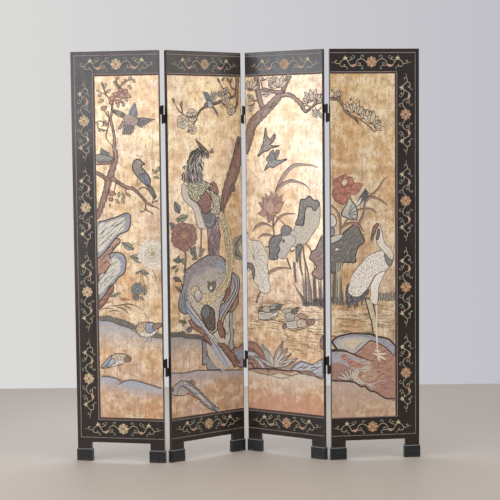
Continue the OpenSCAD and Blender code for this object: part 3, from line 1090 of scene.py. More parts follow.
def petals(p, centre, radius, rings, shades, edge=INK, turn=0.0, flat=1.0, heart=None, pointed=False,
        edge_w=1.1):
    """A flower: rings of (reach, petals), outer ring first, then its heart. flat is its height's share of
    its width."""
    centre = Vector(centre)
    for ring, (reach, count) in enumerate(rings):
        shade = shades[ring % len(shades)]
        long, half = radius * reach, math.pi * radius * reach / count * 1.12
        form = POINTED_PETAL if pointed else NOTCHED_PETAL
        for i in range(count):
            a = 2 * math.pi * (i + ring * 0.5) / count + turn + p.rng.uniform(-0.08, 0.08)
            grow = p.rng.uniform(0.9, 1.08)
            loop = [Vector((t * long * grow, -s * half)) for t, s in form]
            loop += [Vector((t * long * grow, s * half)) for t, s in reversed(form[:-1])]
            loop = [turned(q, a) for q in loop]
            loop = [centre + Vector((q.x, q.y * flat)) for q in loop]
            made = p.fill(loop, shade, core=blended(shade, "#3d2c28", 0.2), gap=max(3.0, radius / 8))
            p.outline(made, edge_w, edge)
    if heart:
        p.dot(centre, radius * 0.16, heart, 9)
        for i in range(7):
            a = 2 * math.pi * i / 7
            p.dot(centre + Vector((math.cos(a), math.sin(a) * flat)) * radius * 0.27,
                max(0.9, radius * 0.05), heart, 6)


def leaves(p, shade, ends, width=0.42):
    """Leaves. ends gives the base and the tip of one after the other, and width is a share of the length."""
    spots = route(ends)
    for i, (base, tip) in enumerate(zip(spots[::2], spots[1::2])):
        leaflet(p, base, tip, (tip - base).length * width, shade, 0.12 * (-1) ** i, INK, INK, 1.1)


def fan(p, roots, tips, count, width, shades, rib=None):
    """Feathers side by side: their roots and their tips run between two points each."""
    (a, b), (c, d) = route(roots), route(tips)
    for i in range(count):
        t = i / max(1, count - 1)
        leaflet(p, a.lerp(b, t), c.lerp(d, t), width, shades[i % len(shades)], rib=rib, edge=INK, edge_w=0.9)


def shape(p, points, shade, other=None, edge=INK, **more):
    """A painted shape with an outline that is heavier round a taller shape."""
    thin, thick = 1.2, 2.9
    made = p.fill(points, shade, other, **more)
    if edge:
        tall = max(q.y for q in made) - min(q.y for q in made)
        p.outline(made, min(thick, thin + tall / 80), edge)
    return made


def rock(p, loop, rim, heart, share, shift, lean, gap):
    """A rock: dark outline, coloured rim, and a paler heart (that share of it, shifted) with cut strokes."""
    shape(p, loop, rim)
    core = p.fill(shrunk(loop, share, shift), heart)
    dabs(p, core, gap * 1.6, INK, gap * 3.6, lean, 1.6, 0.12)
    dabs(p, core, gap * 1.9, WHITE, gap * 2.2, lean, 2.4, 0.1)


def tuft(p, x, y, tall):
    """Three blades of grass from one root."""
    for i in range(3):
        a = (i - 1) / 2 * p.rng.uniform(0.8, 1.1)
        h = tall * p.rng.uniform(0.65, 1.05)
        p.line([(x, y), (x + h * 0.35 * math.sin(a * 0.6), y + h * 0.5), (x + h * math.sin(a),
            y + h * math.cos(a))], 1.1, "#4f4438", taper=(1.0, 0.2), gap=tall / 4)


def bank(p, crest, depth, shade, fringe):
    """A shore: a wash that fades out downwards, an ink line along the crest, and grass up to fringe tall. A
    bank that starts inside the border slants in at its left."""
    curve = smooth(crest, False, 8)
    low = min(q.y for q in curve) - depth
    mid = sum(q.y for q in curve) / len(curve)
    start = curve[0].x + (depth * 1.8 if curve[0].x > 120 else 0)
    p.fill([*curve, (curve[-1].x, low), (start, low)], shade, cover=0.95, sharp=True,
        fade=((0, mid - depth * 0.2), (0, low)))
    p.line(curve, 2.0, INK, straight=True, gap=8)
    for a in curve:
        for _ in range(2):
            x = a.x + p.rng.uniform(-5, 5)
            if fringe and curve[0].x + 2 < x < curve[-1].x - 2:
                tuft(p, x, a.y, fringe * p.rng.uniform(0.5, 1.0))
    p.up()


def bloom(p, centre, reach, turn, count, shade, spread=1.15):
    """An opening flower seen from the side: pointed petals fanned about one direction (turn, in degrees)."""
    for i in sorted(range(count), key=lambda k: -abs(k - (count - 1) / 2)):
        a = math.radians(turn) + spread * (2 * i / (count - 1) - 1)
        tip = Vector(centre) + Vector((math.cos(a), math.sin(a))) * reach * p.rng.uniform(0.85, 1.1)
        leaflet(p, centre, tip, reach * 0.42, shade, 0.15 * (-1) ** i, edge=INK, edge_w=1.5)


def ripples(p, box, count, shade="#453324"):
    """Short level water strokes in a box (x0, y0, x1, y1)."""
    for _ in range(count):
        x, y = p.rng.uniform(box[0], box[2]), p.rng.uniform(box[1], box[3])
        w = min(p.rng.uniform(16, 75), box[2] - x)
        p.line([(x, y), (x + w * 0.3, y + 2.4), (x + w * 0.65, y - 1.6), (x + w, y + 1.2)], 2.2, shade,
            taper=(0.3, 0.3), gap=8)
    p.up()


def trees_1(p):
    """First panel: the slim tree with its red blossom and the long low branch."""
    p.at(0.2)
    limb(p, "198,1400 197,1350 164,1255 154,1215 124,1130 104,1092", (18, 22, 27, 30, 27, 26, 24, 22),
        MAUVE_BARK, 7)
    limb(p, "106,1334 130,1338 160,1340 190,1348", (10, 14, 15, 16), MAUVE_BARK, 3)
    limb(p, "106,1296 134,1284 164,1262", (17, 17, 18), MAUVE_BARK, 3)
    limb(p, "180,1272 244,1232 274,1226 296,1210 344,1160 366,1148", (18, 16, 14, 14, 13, 12, 9, 6),
        MAUVE_BARK, 4)
    limb(p, "190,1602 186,1560 181,1530 194,1468 196,1430 192,1400", (8, 8, 9, 10, 10, 11, 14), BROWN_BARK,
        2)
    for run in ("168,1568 173,1540 170,1505 158,1458 168,1434 188,1412",
            "170,1505 150,1518 130,1524 112,1518", "164,1480 142,1486 124,1492 118,1506",
            "150,1518 146,1504 134,1500", "172,1540 160,1556 152,1574",
            "190,1600 176,1622 158,1640 132,1652", "190,1600 206,1630 222,1662 240,1690 282,1706",
            "160,1640 152,1664 146,1690", "222,1662 212,1690 206,1712", "206,1630 236,1622 262,1628",
            "330,1176 334,1150 330,1134 318,1120", "332,1136 344,1126 358,1120",
            "362,1150 382,1142 401,1130", "300,1220 324,1231 348,1216 368,1186 362,1158",
            "200,1262 196,1236 188,1208", "246,1230 244,1206 258,1190", "360,1160 378,1170"):
        twig(p, run, 5.5)
    p.at(0.55)
    leaves(p, "#b0a486", "132,1654 118,1660 142,1640 122,1634 150,1618 126,1604 147,1676 142,1696 156,1668 "
        "164,1690 160,1650 184,1660 208,1698 194,1690 206,1704 222,1716 220,1684 214,1664 232,1690 250,1684 "
        "262,1700 282,1716 282,1706 294,1690 262,1680 276,1660 250,1640 276,1626 236,1606 244,1584 214,1606 "
        "216,1580 216,1612 238,1604 152,1574 164,1590 258,1694 244,1706 200,1690 212,1676 250,1626 258,1606 "
        "124,1492 132,1476 112,1518 126,1508 140,1486 150,1476 160,1500 150,1530", width=0.62)
    leaves(p, "#a39a7c", "188,1208 200,1196 214,1210 210,1186 228,1206 240,1182 244,1206 266,1192 226,1186 "
        "236,1158 172,1160 168,1144 196,1178 214,1160 376,1172 390,1168 384,1290 366,1310 386,1296 398,1322 "
        "372,1276 398,1270 318,1120 308,1128 358,1120 368,1112", width=0.5)
    for x, y, r in ((150, 1580, 15), (188, 1622, 17), (214, 1608, 14), (206, 1640, 16), (234, 1634, 17),
            (250, 1652, 12), (184, 1604, 11), (228, 1658, 12), (180, 1204, 15), (176, 1178, 12)):
        petals(p, (x, y), r, ((1.0, 6), (0.6, 4)), ("#a66a54", "#b27c66"), "#4d2f28", p.rng.uniform(0, 1),
            flat=p.rng.uniform(0.6, 1.0), heart="#c9a277", pointed=True, edge_w=1.2)


def birds_1(p):
    """First panel: the flying bird and the two that perch."""
    p.at(0.8)
    fan(p, "250,1552 240,1536", "186,1574 192,1560", 4, 11, ("#77705c", "#8d8570"), rib=INK)
    fan(p, "262,1544 290,1530", "294,1606 302,1566", 5, 14, ("#74808c", "#626874", "#8a93a0"))
    fan(p, "296,1534 300,1508", "382,1526 326,1492", 6, 12, ("#6f6a76", "#8e7c74", "#5f6370"), rib=INK)
    shape(p, "240,1544 264,1548 292,1538 306,1524 296,1505 272,1502 252,1511 242,1527", "#7c6a66", "#9a7d69",
        edge="#5d5350")
    fan(p, "250,1508 286,1502", "234,1460 270,1462", 5, 15, ("#7a7072", "#8d8584"), rib=INK)
    shape(p, "214,1490 238,1520 246,1512 236,1498 222,1488", "#8b8069")
    p.line("226,1502 238,1530", 1.6, INK)
    shape(p, "106,1372 152,1380 190,1354 140,1344 106,1350", "#6c7674", "#7f7c76")
    fan(p, "136,1372 172,1366", "136,1408 166,1388", 4, 13, ("#5f6566", "#767b7c"), rib=INK)
    fan(p, "338,1244 356,1240", "374,1176 384,1186", 4, 11, ("#7c7d6c", "#66675f"), rib=INK)
    body = shape(p, "276,1320 279,1338 290,1351 305,1354 315,1348 322,1340 334,1333 322,1329 317,1320 "
        "331,1304 347,1284 357,1262 352,1240 334,1242 300,1276 280,1302", "#7a736c", "#8c847a")
    dabs(p, body, 8, "#4a443e", 7, 120, 1.5, 0.3)
    fan(p, "306,1290 330,1296", "336,1238 358,1234", 4, 13, ("#8389a3", "#8b8a90", "#757a92"), rib=INK)
    p.dot("307,1342", 2.8, "#e5d9bd")
    p.dot("307,1342", 1.5, "#1d1614")
    for run in ("300,1268 296,1244 286,1240", "312,1258 304,1240 296,1236"):
        p.line(run, 2.2, "#6a5342")


def rocks_1(p):
    """First panel: rocks, peonies, banks and the two quails."""
    p.at(0.0)
    bank(p, "108,384 150,384 185,376 210,362", 56, "#9da5b5", 12)
    bank(p, "196,350 225,364 255,371 300,362 401,334", 52, "#9da5b5", 12)
    bank(p, "108,637 165,634 200,620 250,605 290,582 330,571 401,560", 66, "#979eab", 0)
    p.at(0.05)
    for grass in ("108,657 150,662 245,636 292,612 290,590 250,606 200,621 165,634 108,637",
            "352,590 376,586 401,580 401,562 360,568"):
        made = p.fill(grass, "#66645b", sharp=True)
        dabs(p, made, 6, "#3f3b33", 10, 80, 1.8)
        dabs(p, made, 10, "#a39c86", 6, 80, 1.3)
    shape(p, "106,922 150,968 190,1002 212,1001 212,984 198,972 170,936 172,906 162,878 138,850 106,830",
        "#9b6a56", "#b58e7a")
    dabs(p, "110,900 190,990 205,985 160,910 112,850", 15, INK, 26, 48, 1.4, 0.2)
    rock(p, "106,1060 150,1085 200,1100 242,1117 262,1108 263,1080 257,1050 244,1036 200,1012 106,916",
        "#8c8e98", "#cfcabd", 0.78, (-12, -4), 38, 15)
    rock(p, "164,934 206,943 237,920 238,880 229,850 202,829 186,806 160,788 146,762 106,724 106,832 "
        "138,848 160,876 172,904", "#8e909c", "#c9c5b6", 0.7, (-6, 2), 42, 15)
    p.fill("106,800 184,868 206,900 214,880 190,836 150,792 106,752", "#c9c6ba")
    dabs(p, "108,790 150,828 190,870 196,850 150,800 108,764", 14, INK, 22, 45, 1.5, 0.2)
    rust = shape(p, "177,800 178,768 164,754 140,714 106,684 106,716 128,740 160,782", "#9b5f48")
    dabs(p, rust, 15, INK, 20, 45, 1.3, 0.2)
    leaves(p, "#8b8d7d", "164,744 206,760 190,744 156,752", width=0.3)
    for run, shade in (("200,744 230,736 262,730", "#a0583c"), ("206,736 222,730 240,724", "#a0583c"),
            ("150,702 200,706 258,712 316,688", "#66583f"), ("184,700 222,692 252,664", "#66583f"),
            ("226,708 250,696 262,682", "#6f5f44"), ("112,700 142,716 170,722", "#755440"),
            ("118,684 146,694 180,690", "#6f6046"), ("150,674 180,684 216,676", "#786548"),
            ("192,758 204,762 216,757", "#6d6a4e")):
        p.line(run, 6.5, shade, taper=(0.3, 0.2))
    p.at(0.35)
    for run in ("340,915 352,880 372,840 382,800", "310,905 336,880", "312,852 330,838 346,826",
            "300,800 304,826 308,850", "322,800 316,824 312,850"):
        twig(p, run, 3.4, "#6f6244")
    leaves(p, "#7d7f74", "276,956 222,986 332,906 258,926 300,860 344,848 300,858 282,846", width=0.5)
    leaves(p, "#8b8b75", "322,752 324,800 300,745 320,732", width=0.5)
    petals(p, (362, 936), 66, ((1.0, 11), (0.8, 10), (0.58, 8), (0.36, 6), (0.2, 4)), ("#e6dac7", "#eae2d2",
        "#d8cdba"), "#6c6259", heart="#a58a5c", edge_w=1.1)
    petals(p, (288, 780), 27, ((1.0, 8), (0.7, 7), (0.4, 5)), ("#68757a", "#76827f", "#5d6a6c"), "#33322f",
        heart="#8a9290")
    petals(p, (282, 744), 14, ((1.0, 5),), ("#8b7a7c",), INK)
    p.at(0.6)
    bird = shape(p, "280,606 290,622 312,632 344,634 372,626 396,628 398,616 382,604 376,588 352,572 "
        "322,566 296,572 284,588", "#d6c7a6", "#b59a78")
    p.fill("300,574 330,566 356,574 380,596 366,596 336,582 310,584", "#e5ddcf")
    dots(p, bird, 7.5, "#5d4837", 2.2)
    shape(p, "324,614 340,630 362,626 368,604 350,586 330,590", "#7c86a4", "#a3a9bd")
    dabs(p, "328,612 342,626 360,620 362,602 348,592 332,596", 9, "#40465e", 9, 100, 1.5)
    shape(p, "356,616 374,628 398,628 394,614 376,604 362,602", "#8d6f5b")
    p.dot("386,621", 1.8, "#1d1614")
    quail = shape(p, "116,424 130,446 172,482 200,490 230,486 254,472 250,456 232,452 206,440 140,424",
        "#b09a7d", "#cfc3aa")
    p.fill("146,428 178,434 240,456 222,460 190,454 158,440", "#e8e0d2")
    dots(p, quail, 7, "#554838", 2.2)
    shape(p, "136,436 150,456 174,466 182,450 164,436 148,430", "#8d95a8", "#b3b9c6")
    shape(p, "116,424 134,452 166,482 158,458 140,434", "#9aa0b0")
    shape(p, "222,462 236,480 256,472 250,456 234,452", "#7a5d4a")
    p.dot("242,470", 1.8, "#1d1614")
    for run in ("332,566 330,548 320,546", "352,572 350,552 340,546", "200,438 198,428 188,424",
            "266,574 258,562 262,552"):
        p.line(run, 2.4, "#5f4a3a")


def trees_2(p):
    """Second panel: the old red trunk at the right and the blossom branch above."""
    p.at(0.2)
    limb(p, "402,1448 370,1330 302,1162 290,1096", (44, 50, 54, 56, 60, 54, 44, 22, 8), RED_BARK, 10)
    shape(p, "358,1232 342,1232 330,1220 334,1204 350,1200 364,1210", "#5a4036")
    limb(p, "380,1722 382,1690 377,1660 380,1625 376,1590 366,1562", (18, 17, 16, 14, 10, 6), BROWN_BARK, 3)
    limb(p, "377,1642 350,1628 315,1622 280,1606 205,1583 180,1570 160,1546", (9, 10, 11, 13, 13, 12, 9, 7),
        BROWN_BARK, 3)
    for run in ("200,1582 170,1562 150,1543 112,1538 80,1552 55,1574 38,1603",
            "165,1550 150,1520 128,1500 118,1480", "352,1625 330,1650 300,1668 284,1692",
            "376,1660 350,1672 335,1700", "80,1552 78,1575 72,1598", "378,1600 362,1580 330,1572 312,1590",
            "366,1562 345,1548 325,1556", "320,1622 312,1642 296,1650"):
        twig(p, run, 6.5, "#5f4636")
    p.at(0.5)
    for x, y, r, shade in ((135, 1545, 27, "#e6dabf"), (82, 1517, 27, "#e3d5b8"), (130, 1484, 21, "#e8ddc5"),
            (316, 1617, 20, "#e4d6bb"), (344, 1570, 21, "#e2d0b0"), (290, 1642, 15, "#dfd1b4"),
            (318, 1658, 13, "#e3d5b8"), (372, 1640, 11, "#e4d6bb")):
        petals(p, (x, y), r, ((1.0, 5), (0.5, 4)), (shade, "#ece2ca"), "#5a3d2b", p.rng.uniform(0, 1),
            heart="#7a5236", edge_w=2.6)
    leaves(p, "#8a7f63", "74,1580 76,1606 335,1698 322,1716 285,1690 272,1712 340,1690 352,1712 296,1700 "
        "310,1716 312,1590 296,1600 38,1600 30,1622 118,1482 104,1470")


def small_bird_2(p):
    """The small bird that flies by the blossom branch."""
    p.at(0.75)
    fan(p, "238,1590 246,1584", "272,1556 276,1540", 3, 9, ("#5f6369", "#7c8390"))
    fan(p, "220,1602 228,1606", "192,1652 216,1650", 4, 11, ("#7d8493", "#5f646e"))
    fan(p, "232,1604 238,1600", "240,1656 276,1652", 4, 11, ("#8a8c90", "#a7a294"))
    shape(p, "206,1597 214,1610 228,1612 240,1602 244,1588 234,1580 220,1584", "#c2b7a2", "#7f8794")
    shape(p, "196,1592 206,1600 215,1604 216,1592 208,1586", "#5d6068")


def pheasant(p):
    """The long-tailed bird on the rock: hackles, scaled wing, dark red coverts and drooping tail plumes."""
    p.at(0.5)
    plume = shape(p, "268,1098 290,1114 312,1070 332,1028 343,980 348,930 352,898 346,862 338,826 326,788 "
        "302,752 270,726 236,702 200,694 164,704 128,736 112,762 128,784 156,776 176,748 214,748 250,760 "
        "300,812 306,900 310,932 304,964 300,1008 286,1050", "#d4bf95", "#b9aa82", edge="#75633f")
    dabs(p, plume, 11, "#43382a", 9, 82, 2.6, 0.2, 20)
    dots(p, plume, 10, "#f0e5c8", 2.8)
    for run in ("290,1100 312,1040 326,980 330,870 318,810 286,768 240,738 190,726",
            "276,1090 296,1040 312,980 320,920 320,860 306,800 270,760 228,742"):
        p.line(run, 3.0, "#6b5a3c", "#8a7650", taper=(0.5, 0.3))
    rows = p.band("238,1090 240,1040 242,980 243,912", (66, 72, 68, 60), ("#4d3236", "#6b4246", "#583a3e",
        "#6b4246", "#432c2f"))
    streaks(p, rows, 34, (INK, "#8b8f96", "#d2c8ba", "#7a4a4c"), 14, 0.02, (2.0, 3.4))
    shape(p, "180,1122 226,1116 250,1092 252,1064 236,1050 222,1040 206,1046 190,1058 178,1084", "#6f747c",
        "#59606a")
    dabs(p, "184,1112 240,1100 240,1060 194,1062", 8, "#2f333a", 14, 100, 2.0, 0.3)
    shape(p, "214,1234 232,1244 248,1246 262,1226 270,1200 254,1190 228,1208", "#6b3f39", "#84483f")
    cream = shape(p, "216,1216 250,1198 272,1180 279,1142 276,1114 256,1100 224,1114 240,1140 226,1196",
        "#a29d84")
    dabs(p, cream, 9, INK, 6, 60, 1.5, 0.4, 60)
    dots(p, cream, 10, "#efe6cf", 2.5)
    red = shape(p, "200,1207 216,1196 229,1166 216,1112 186,1108 174,1130 160,1150 148,1166 190,1196",
        "#723a32", "#844236")
    dabs(p, red, 15, "#4a2a27", 26, 20, 1.8, 0.2)
    pale = shape(p, "78,1244 71,1222 70,1200 84,1170 126,1134 139,1110 151,1064 160,1044 176,1034 198,1042 "
        "190,1062 178,1096 166,1130 150,1156 122,1172 106,1196 98,1228", "#d6ccbe", "#c6bbb3",
        edge="#5d5146")
    dabs(p, pale, 15, "#8b8378", 9, 70, 1.2)
    wing = shape(p, "97,1226 106,1244 122,1256 152,1262 190,1254 216,1242 240,1232 216,1222 196,1204 "
        "178,1188 152,1160 126,1172 107,1196", "#8c8968", "#77745a")
    dabs(p, wing, 9, INK, 6, 60, 1.5, 0.4, 60)
    dots(p, wing, 10, "#f0e6c6", 2.9)
    rows = p.band("210,1382 186,1382 160,1364 144,1336 138,1304 134,1270 132,1244", (12, 40, 62, 74, 88, 102,
        100), ("#4b4340", "#6d6465", "#837a78", "#665c5c", "#4a413f"))
    streaks(p, rows, 120, (INK, INK, INK, "#e8e0d4", "#d5ccc2"), 8, 0.12, (2.4, 3.8))
    shape(p, "148,1438 154,1430 176,1396 196,1374 212,1372 218,1380 208,1392 180,1416", "#6e4a3c", "#4a4038")
    p.line("156,1428 184,1404 204,1388", 4, "#77705a", taper=(0.4, 0.6))
    shape(p, "204,1376 216,1376 220,1362 212,1354 204,1364", "#5e342b")
    p.dot("204,1384", 2.6, "#e4d3a6")
    p.line("218,1382 228,1384 236,1390", 2.6, "#6e3f2c")
    for spot in ("230,1382", "236,1392", "241,1383"):
        p.dot(spot, 7.5, "#6b3f2c", 9)
    foot = (169, 900)
    p.line([(174, 1044), (171, 980), foot], 8.0, "#8c6b47", taper=(1.0, 0.7), raised=True)
    for toe in route("146,905 166,882 192,896"):
        p.line([foot, toe], 4.0, "#7a5b3e", taper=(1, 0.4), raised=True)


def rocks_2(p):
    """The pierced scholar's rock, the dark red peony, the banks and the stones below."""
    p.at(0.0)
    bank(p, "3,566 60,562 90,552 140,546 182,530", 70, "#8d8a92", 0)
    bank(p, "3,404 80,396 150,400 300,385 401,376", 56, "#a39fa8", 7)
    p.at(0.05)
    made = p.fill("3,586 40,584 70,586 92,572 140,566 184,548 184,530 140,546 92,552 60,563 3,567",
        "#55524c")
    dabs(p, made, 6, "#2f2c28", 10, 80, 1.6)
    shape(p, "3,332 28,352 60,363 92,338 98,316 80,296 30,300 3,310", "#b5a396", "#8f939e")
    p.line("30,300 40,330 60,340 78,326", 4.0, "#5d5a55")
    shape(p, "92,350 110,360 126,350 124,332 108,330", "#96614a")
    limb(p, "68,352 100,332 150,288 200,240 262,200", (30, 34, 34, 30, 14), ("#4d4a4c", "#858a97", "#d5cec4",
        "#8d8f9c", "#4d4a4c"), 8)
    for run in ("98,300 120,284 146,274 166,262", "84,306 104,296"):
        p.line(run, 9, "#96614a", taper=(0.5, 0.5))
    shape(p, "3,338 14,330 8,318 3,322", "#4d4b4a")
    p.at(0.1)
    leaves(p, "#7b6750", "88,622 44,634 78,630 66,606")
    petals(p, (100, 590), 14, ((1.0, 5),), ("#6b6b72",))
    leaves(p, "#55534c", "20,830 64,808 28,812 56,826 10,870 40,880")
    leaves(p, "#7b5d42", "64,760 30,790 78,780 60,800")
    twig(p, "84,846 62,800 58,752", 4)
    pillar = shape(p, "172,532 188,528 200,500 196,470 214,448 280,398 204,398 190,424 170,426 172,480",
        "#9a9496", "#7c7c86")
    dabs(p, pillar, 13, "#44424a", 24, 68, 1.6, 0.2, 20)
    pillar = shape(p, "292,520 300,560 286,590 292,622 312,648 338,650 338,584 347,560 341,520 348,486 "
        "320,468 300,484", "#cbc1b4", "#c6bdb1")
    dabs(p, pillar, 18, INK, 14, 82, 1.4, 0.3, 20)
    p.line("338,640 334,590 338,540 330,500 338,480", 14, "#9a9da8")
    p.line("326,646 322,590 328,540 318,500 326,478", 2.6, INK)
    p.fill("243,604 257,612 254,592 262,560 276,537 296,524 276,496 250,520 226,552", "#cdbfae")
    shape(p, "344,470 352,486 372,482 401,496 401,398 366,398 352,430", "#8c8796", "#a47a69")
    p.fill("352,458 372,468 401,472 401,440 372,430", "#9297ab")
    shape(p, "338,826 352,828 382,790 372,722 374,696 356,664 330,650 300,660 276,620 262,604 256,640 "
        "272,682 300,700 286,712 300,742 326,770 338,800", "#7e8494", "#8a8794")
    shape(p, "374,722 372,694 356,664 328,650 344,690 362,716", "#a5745f")
    shape(p, "302,744 284,712 312,700 330,742 322,764", "#86483a")
    for run in ("352,816 366,784 354,740 290,654 268,618", "340,800 350,770 336,736 306,700",
            "362,826 376,790 366,736 326,680 290,640"):
        p.line(run, 8, "#b8b4b6", taper=(0.4, 0.4))
        p.line([(q.x + 7, q.y - 2) for q in route(run)], 2.8, INK, taper=(0.5, 0.3))
    shape(p, "84,850 100,866 200,916 270,913 300,890 310,862 318,800 300,730 274,690 258,590 240,566 "
        "214,560 180,596 140,646 108,668 80,662 58,674 46,700 52,740 62,764 72,792", "#8f8c94", "#867f88",
        core="#a39a98")
    dabs(p, "80,800 100,860 200,908 290,890 300,850 250,868 190,868 130,840 90,760 80,720", 14, "#4a464e",
        24, 10, 1.5, 0.15, 30)
    p.fill("262,886 300,872 304,846 280,836 256,856", "#8794a8")
    shape(p, "52,740 64,760 82,762 92,730 92,700 108,678 98,670 78,666 58,678 48,702", "#7b8490", edge=None)
    dabs(p, "54,736 66,756 84,750 90,700 102,680 80,670 60,682", 11, "#454a55", 20, 72, 1.6, 0.2, 20)
    cream = p.fill("104,790 130,826 176,836 216,860 262,856 306,836 314,800 298,734 272,690 256,596 242,572 "
        "214,566 190,590 110,684 94,720 92,760", "#d0c2b2", "#aaa19e", core="#d6cab8")
    dots(p, cream, 12, "#6e6755", 2.2)
    dabs(p, "110,800 180,830 300,840 300,760 250,790 130,770", 13, "#6a655c", 13, 20, 1.6, 0.5, 50)
    limb(p, "94,716 110,672 188,570 222,530 286,440 310,396", (30, 34, 34, 36, 44, 56, 70, 84),
        ("#c4bbae", "#c1c0c2", "#a9adbb", "#9fa4b6", "#8d93a6"), 0)
    for run in ("82,764 78,730 88,696 120,658 156,620 196,566", "98,770 92,732 104,702 138,664 176,620 "
            "214,562", "214,556 250,516 296,462 330,420", "196,566 226,530 260,486 290,440 310,404"):
        p.line(run, 1.9, INK, taper=(0.3, 0.5))
    dabs(p, "88,744 84,716 100,686 140,650 196,584 230,548 244,556 200,612 140,676 108,716 108,752", 20, INK,
        11, 128, 1.8, 0.3, 20)
    p.fill("196,520 222,494 246,462 276,424 296,398 262,398 222,436 202,470", "#c6b59f", "#b7b3a0",
        cover=0.9)
    for run, w in (("104,636 122,606 160,584 190,550 222,506", (14, 24, 20, 20, 8)),
            ("254,512 290,496 318,462 346,430 366,400", (8, 26, 32, 36, 38))):
        limb(p, run, w, ("#4a2d26", "#8b5341", "#9a6350", "#7f4b3d", "#43302b"), 4)
    hole = shape(p, "174,680 190,693 206,690 236,668 241,640 243,600 236,577 206,581 194,600 166,650",
        "#4f3a31", "#5f5754")
    dabs(p, hole, 13, "#241815", 20, 70, 3.2, 0.4, 30)
    p.fill("178,676 192,688 206,680 208,650 190,634 172,650", "#5a6166")
    shape(p, "257,612 276,614 291,572 295,546 276,537 262,560 254,592", "#87503f")
    shape(p, "130,742 138,758 154,766 168,752 172,734 160,716 144,712", "#96879a", "#ded6cf")
    shape(p, "204,776 212,800 222,790 240,800 250,780 236,758 216,756", "#5c574b")
    shape(p, "212,766 222,782 232,768 222,758", "#ded6cb")
    p.at(0.35)
    limb(p, "84,950 88,915 84,880 78,846", (8, 8, 9, 8), BROWN_BARK, 2)
    leaves(p, "#595d62", "58,1112 32,1166 36,1046 4,1074 22,1054 10,1042", width=0.6)
    leaves(p, "#808068", "48,1082 102,1100 52,1072 44,1096 66,912 88,880 46,868 30,852", width=0.6)
    leaves(p, "#5f6260", "66,900 20,908 40,892 52,926 112,958 146,912 138,962 120,930 150,910 120,906",
        width=0.55)
    leaves(p, "#a59a8c", "158,914 190,950 166,962 176,930", width=0.5)
    leaves(p, "#8d8b80", "356,950 398,1000 358,924 401,888 362,906 366,960", width=0.7)
    petals(p, (82, 1010), 72, ((1.0, 11), (0.82, 10), (0.62, 8), (0.42, 6), (0.24, 4)),
        ("#8c4e41", "#965948", "#80463a"), "#45251f", 0.2, flat=0.9, heart="#a8784f", edge_w=1.6)


def trees_3(p):
    """Third panel: the tree's crown reaching over, with blossom."""
    p.at(0.2)
    limb(p, "62,1722 66,1680 72,1640 84,1600 96,1568", (26, 25, 27, 25, 24), MAUVE_BARK, 4)
    limb(p, "-4,1372 26,1470 46,1514 120,1574 180,1628 200,1650 210,1676 236,1722", (34, 42, 46, 46, 50, 46,
        40, 38, 32, 20, 24, 26), MAUVE_BARK, 10)
    limb(p, "190,1632 224,1634 250,1626 292,1592 306,1568 320,1558 342,1572 358,1582 390,1624 402,1632",
        (20, 18, 19, 16, 18, 20, 16, 11, 9, 9, 8, 7), MAUVE_BARK, 4)
    limb(p, "74,1650 100,1660 132,1654 160,1648 192,1646", (12, 15, 15, 15, 16), MAUVE_BARK, 3)
    for run in ("94,1660 90,1684 84,1700 108,1703 126,1716", "150,1652 140,1668 130,1682",
            "300,1592 328,1582 352,1578", "356,1580 380,1590 402,1590", "364,1574 378,1560 398,1576",
            "66,1614 50,1610 38,1618", "52,1600 36,1592 12,1590", "44,1662 26,1658 14,1672",
            "376,1606 370,1584"):
        twig(p, run, 6)
    p.at(0.55)
    leaves(p, "#a89f8c", "50,1610 12,1640 40,1596 26,1560 92,1638 132,1638 352,1566 372,1528 378,1558 "
        "396,1526 140,1664 128,1690 150,1690 132,1676 104,1704 84,1716", width=0.6)
    for x, y, reach, turn in ((30, 1664, 50, 80), (176, 1668, 56, 95), (152, 1690, 30, 130), (350, 1602, 54,
            100), (330, 1600, 34, 150), (372, 1606, 34, 50)):
        bloom(p, (x, y), reach, turn, 5, "#cdb8a0")


def swallows(p):
    """Third panel: two swallows crossing."""
    p.at(0.75)
    shape(p, "66,1360 92,1414 108,1488 113,1456 134,1436 157,1460 157,1440 146,1424 132,1414 142,1407 "
        "180,1406 136,1396 120,1386 94,1378", "#77685b", "#8d7866")
    for roots, tips, count, w in (("112,1430 96,1404", "108,1484 68,1362", 4, 11), ("132,1426 140,1420",
            "150,1458 158,1446", 3, 9)):
        fan(p, roots, tips, count, w, ("#6f6257", "#85766a"))
    shape(p, "102,1296 112,1320 122,1332 110,1346 124,1364 138,1384 150,1386 152,1366 164,1384 176,1388 "
        "178,1374 164,1352 156,1345 184,1342 220,1347 168,1320 150,1309 126,1312", "#696b72", "#7a7a80")
    fan(p, "128,1340 138,1334", "130,1372 150,1384", 3, 10, ("#65676e", "#83858c"))
    fan(p, "152,1352 158,1346", "168,1386 178,1374", 3, 9, ("#5c5e63", "#777a80"))


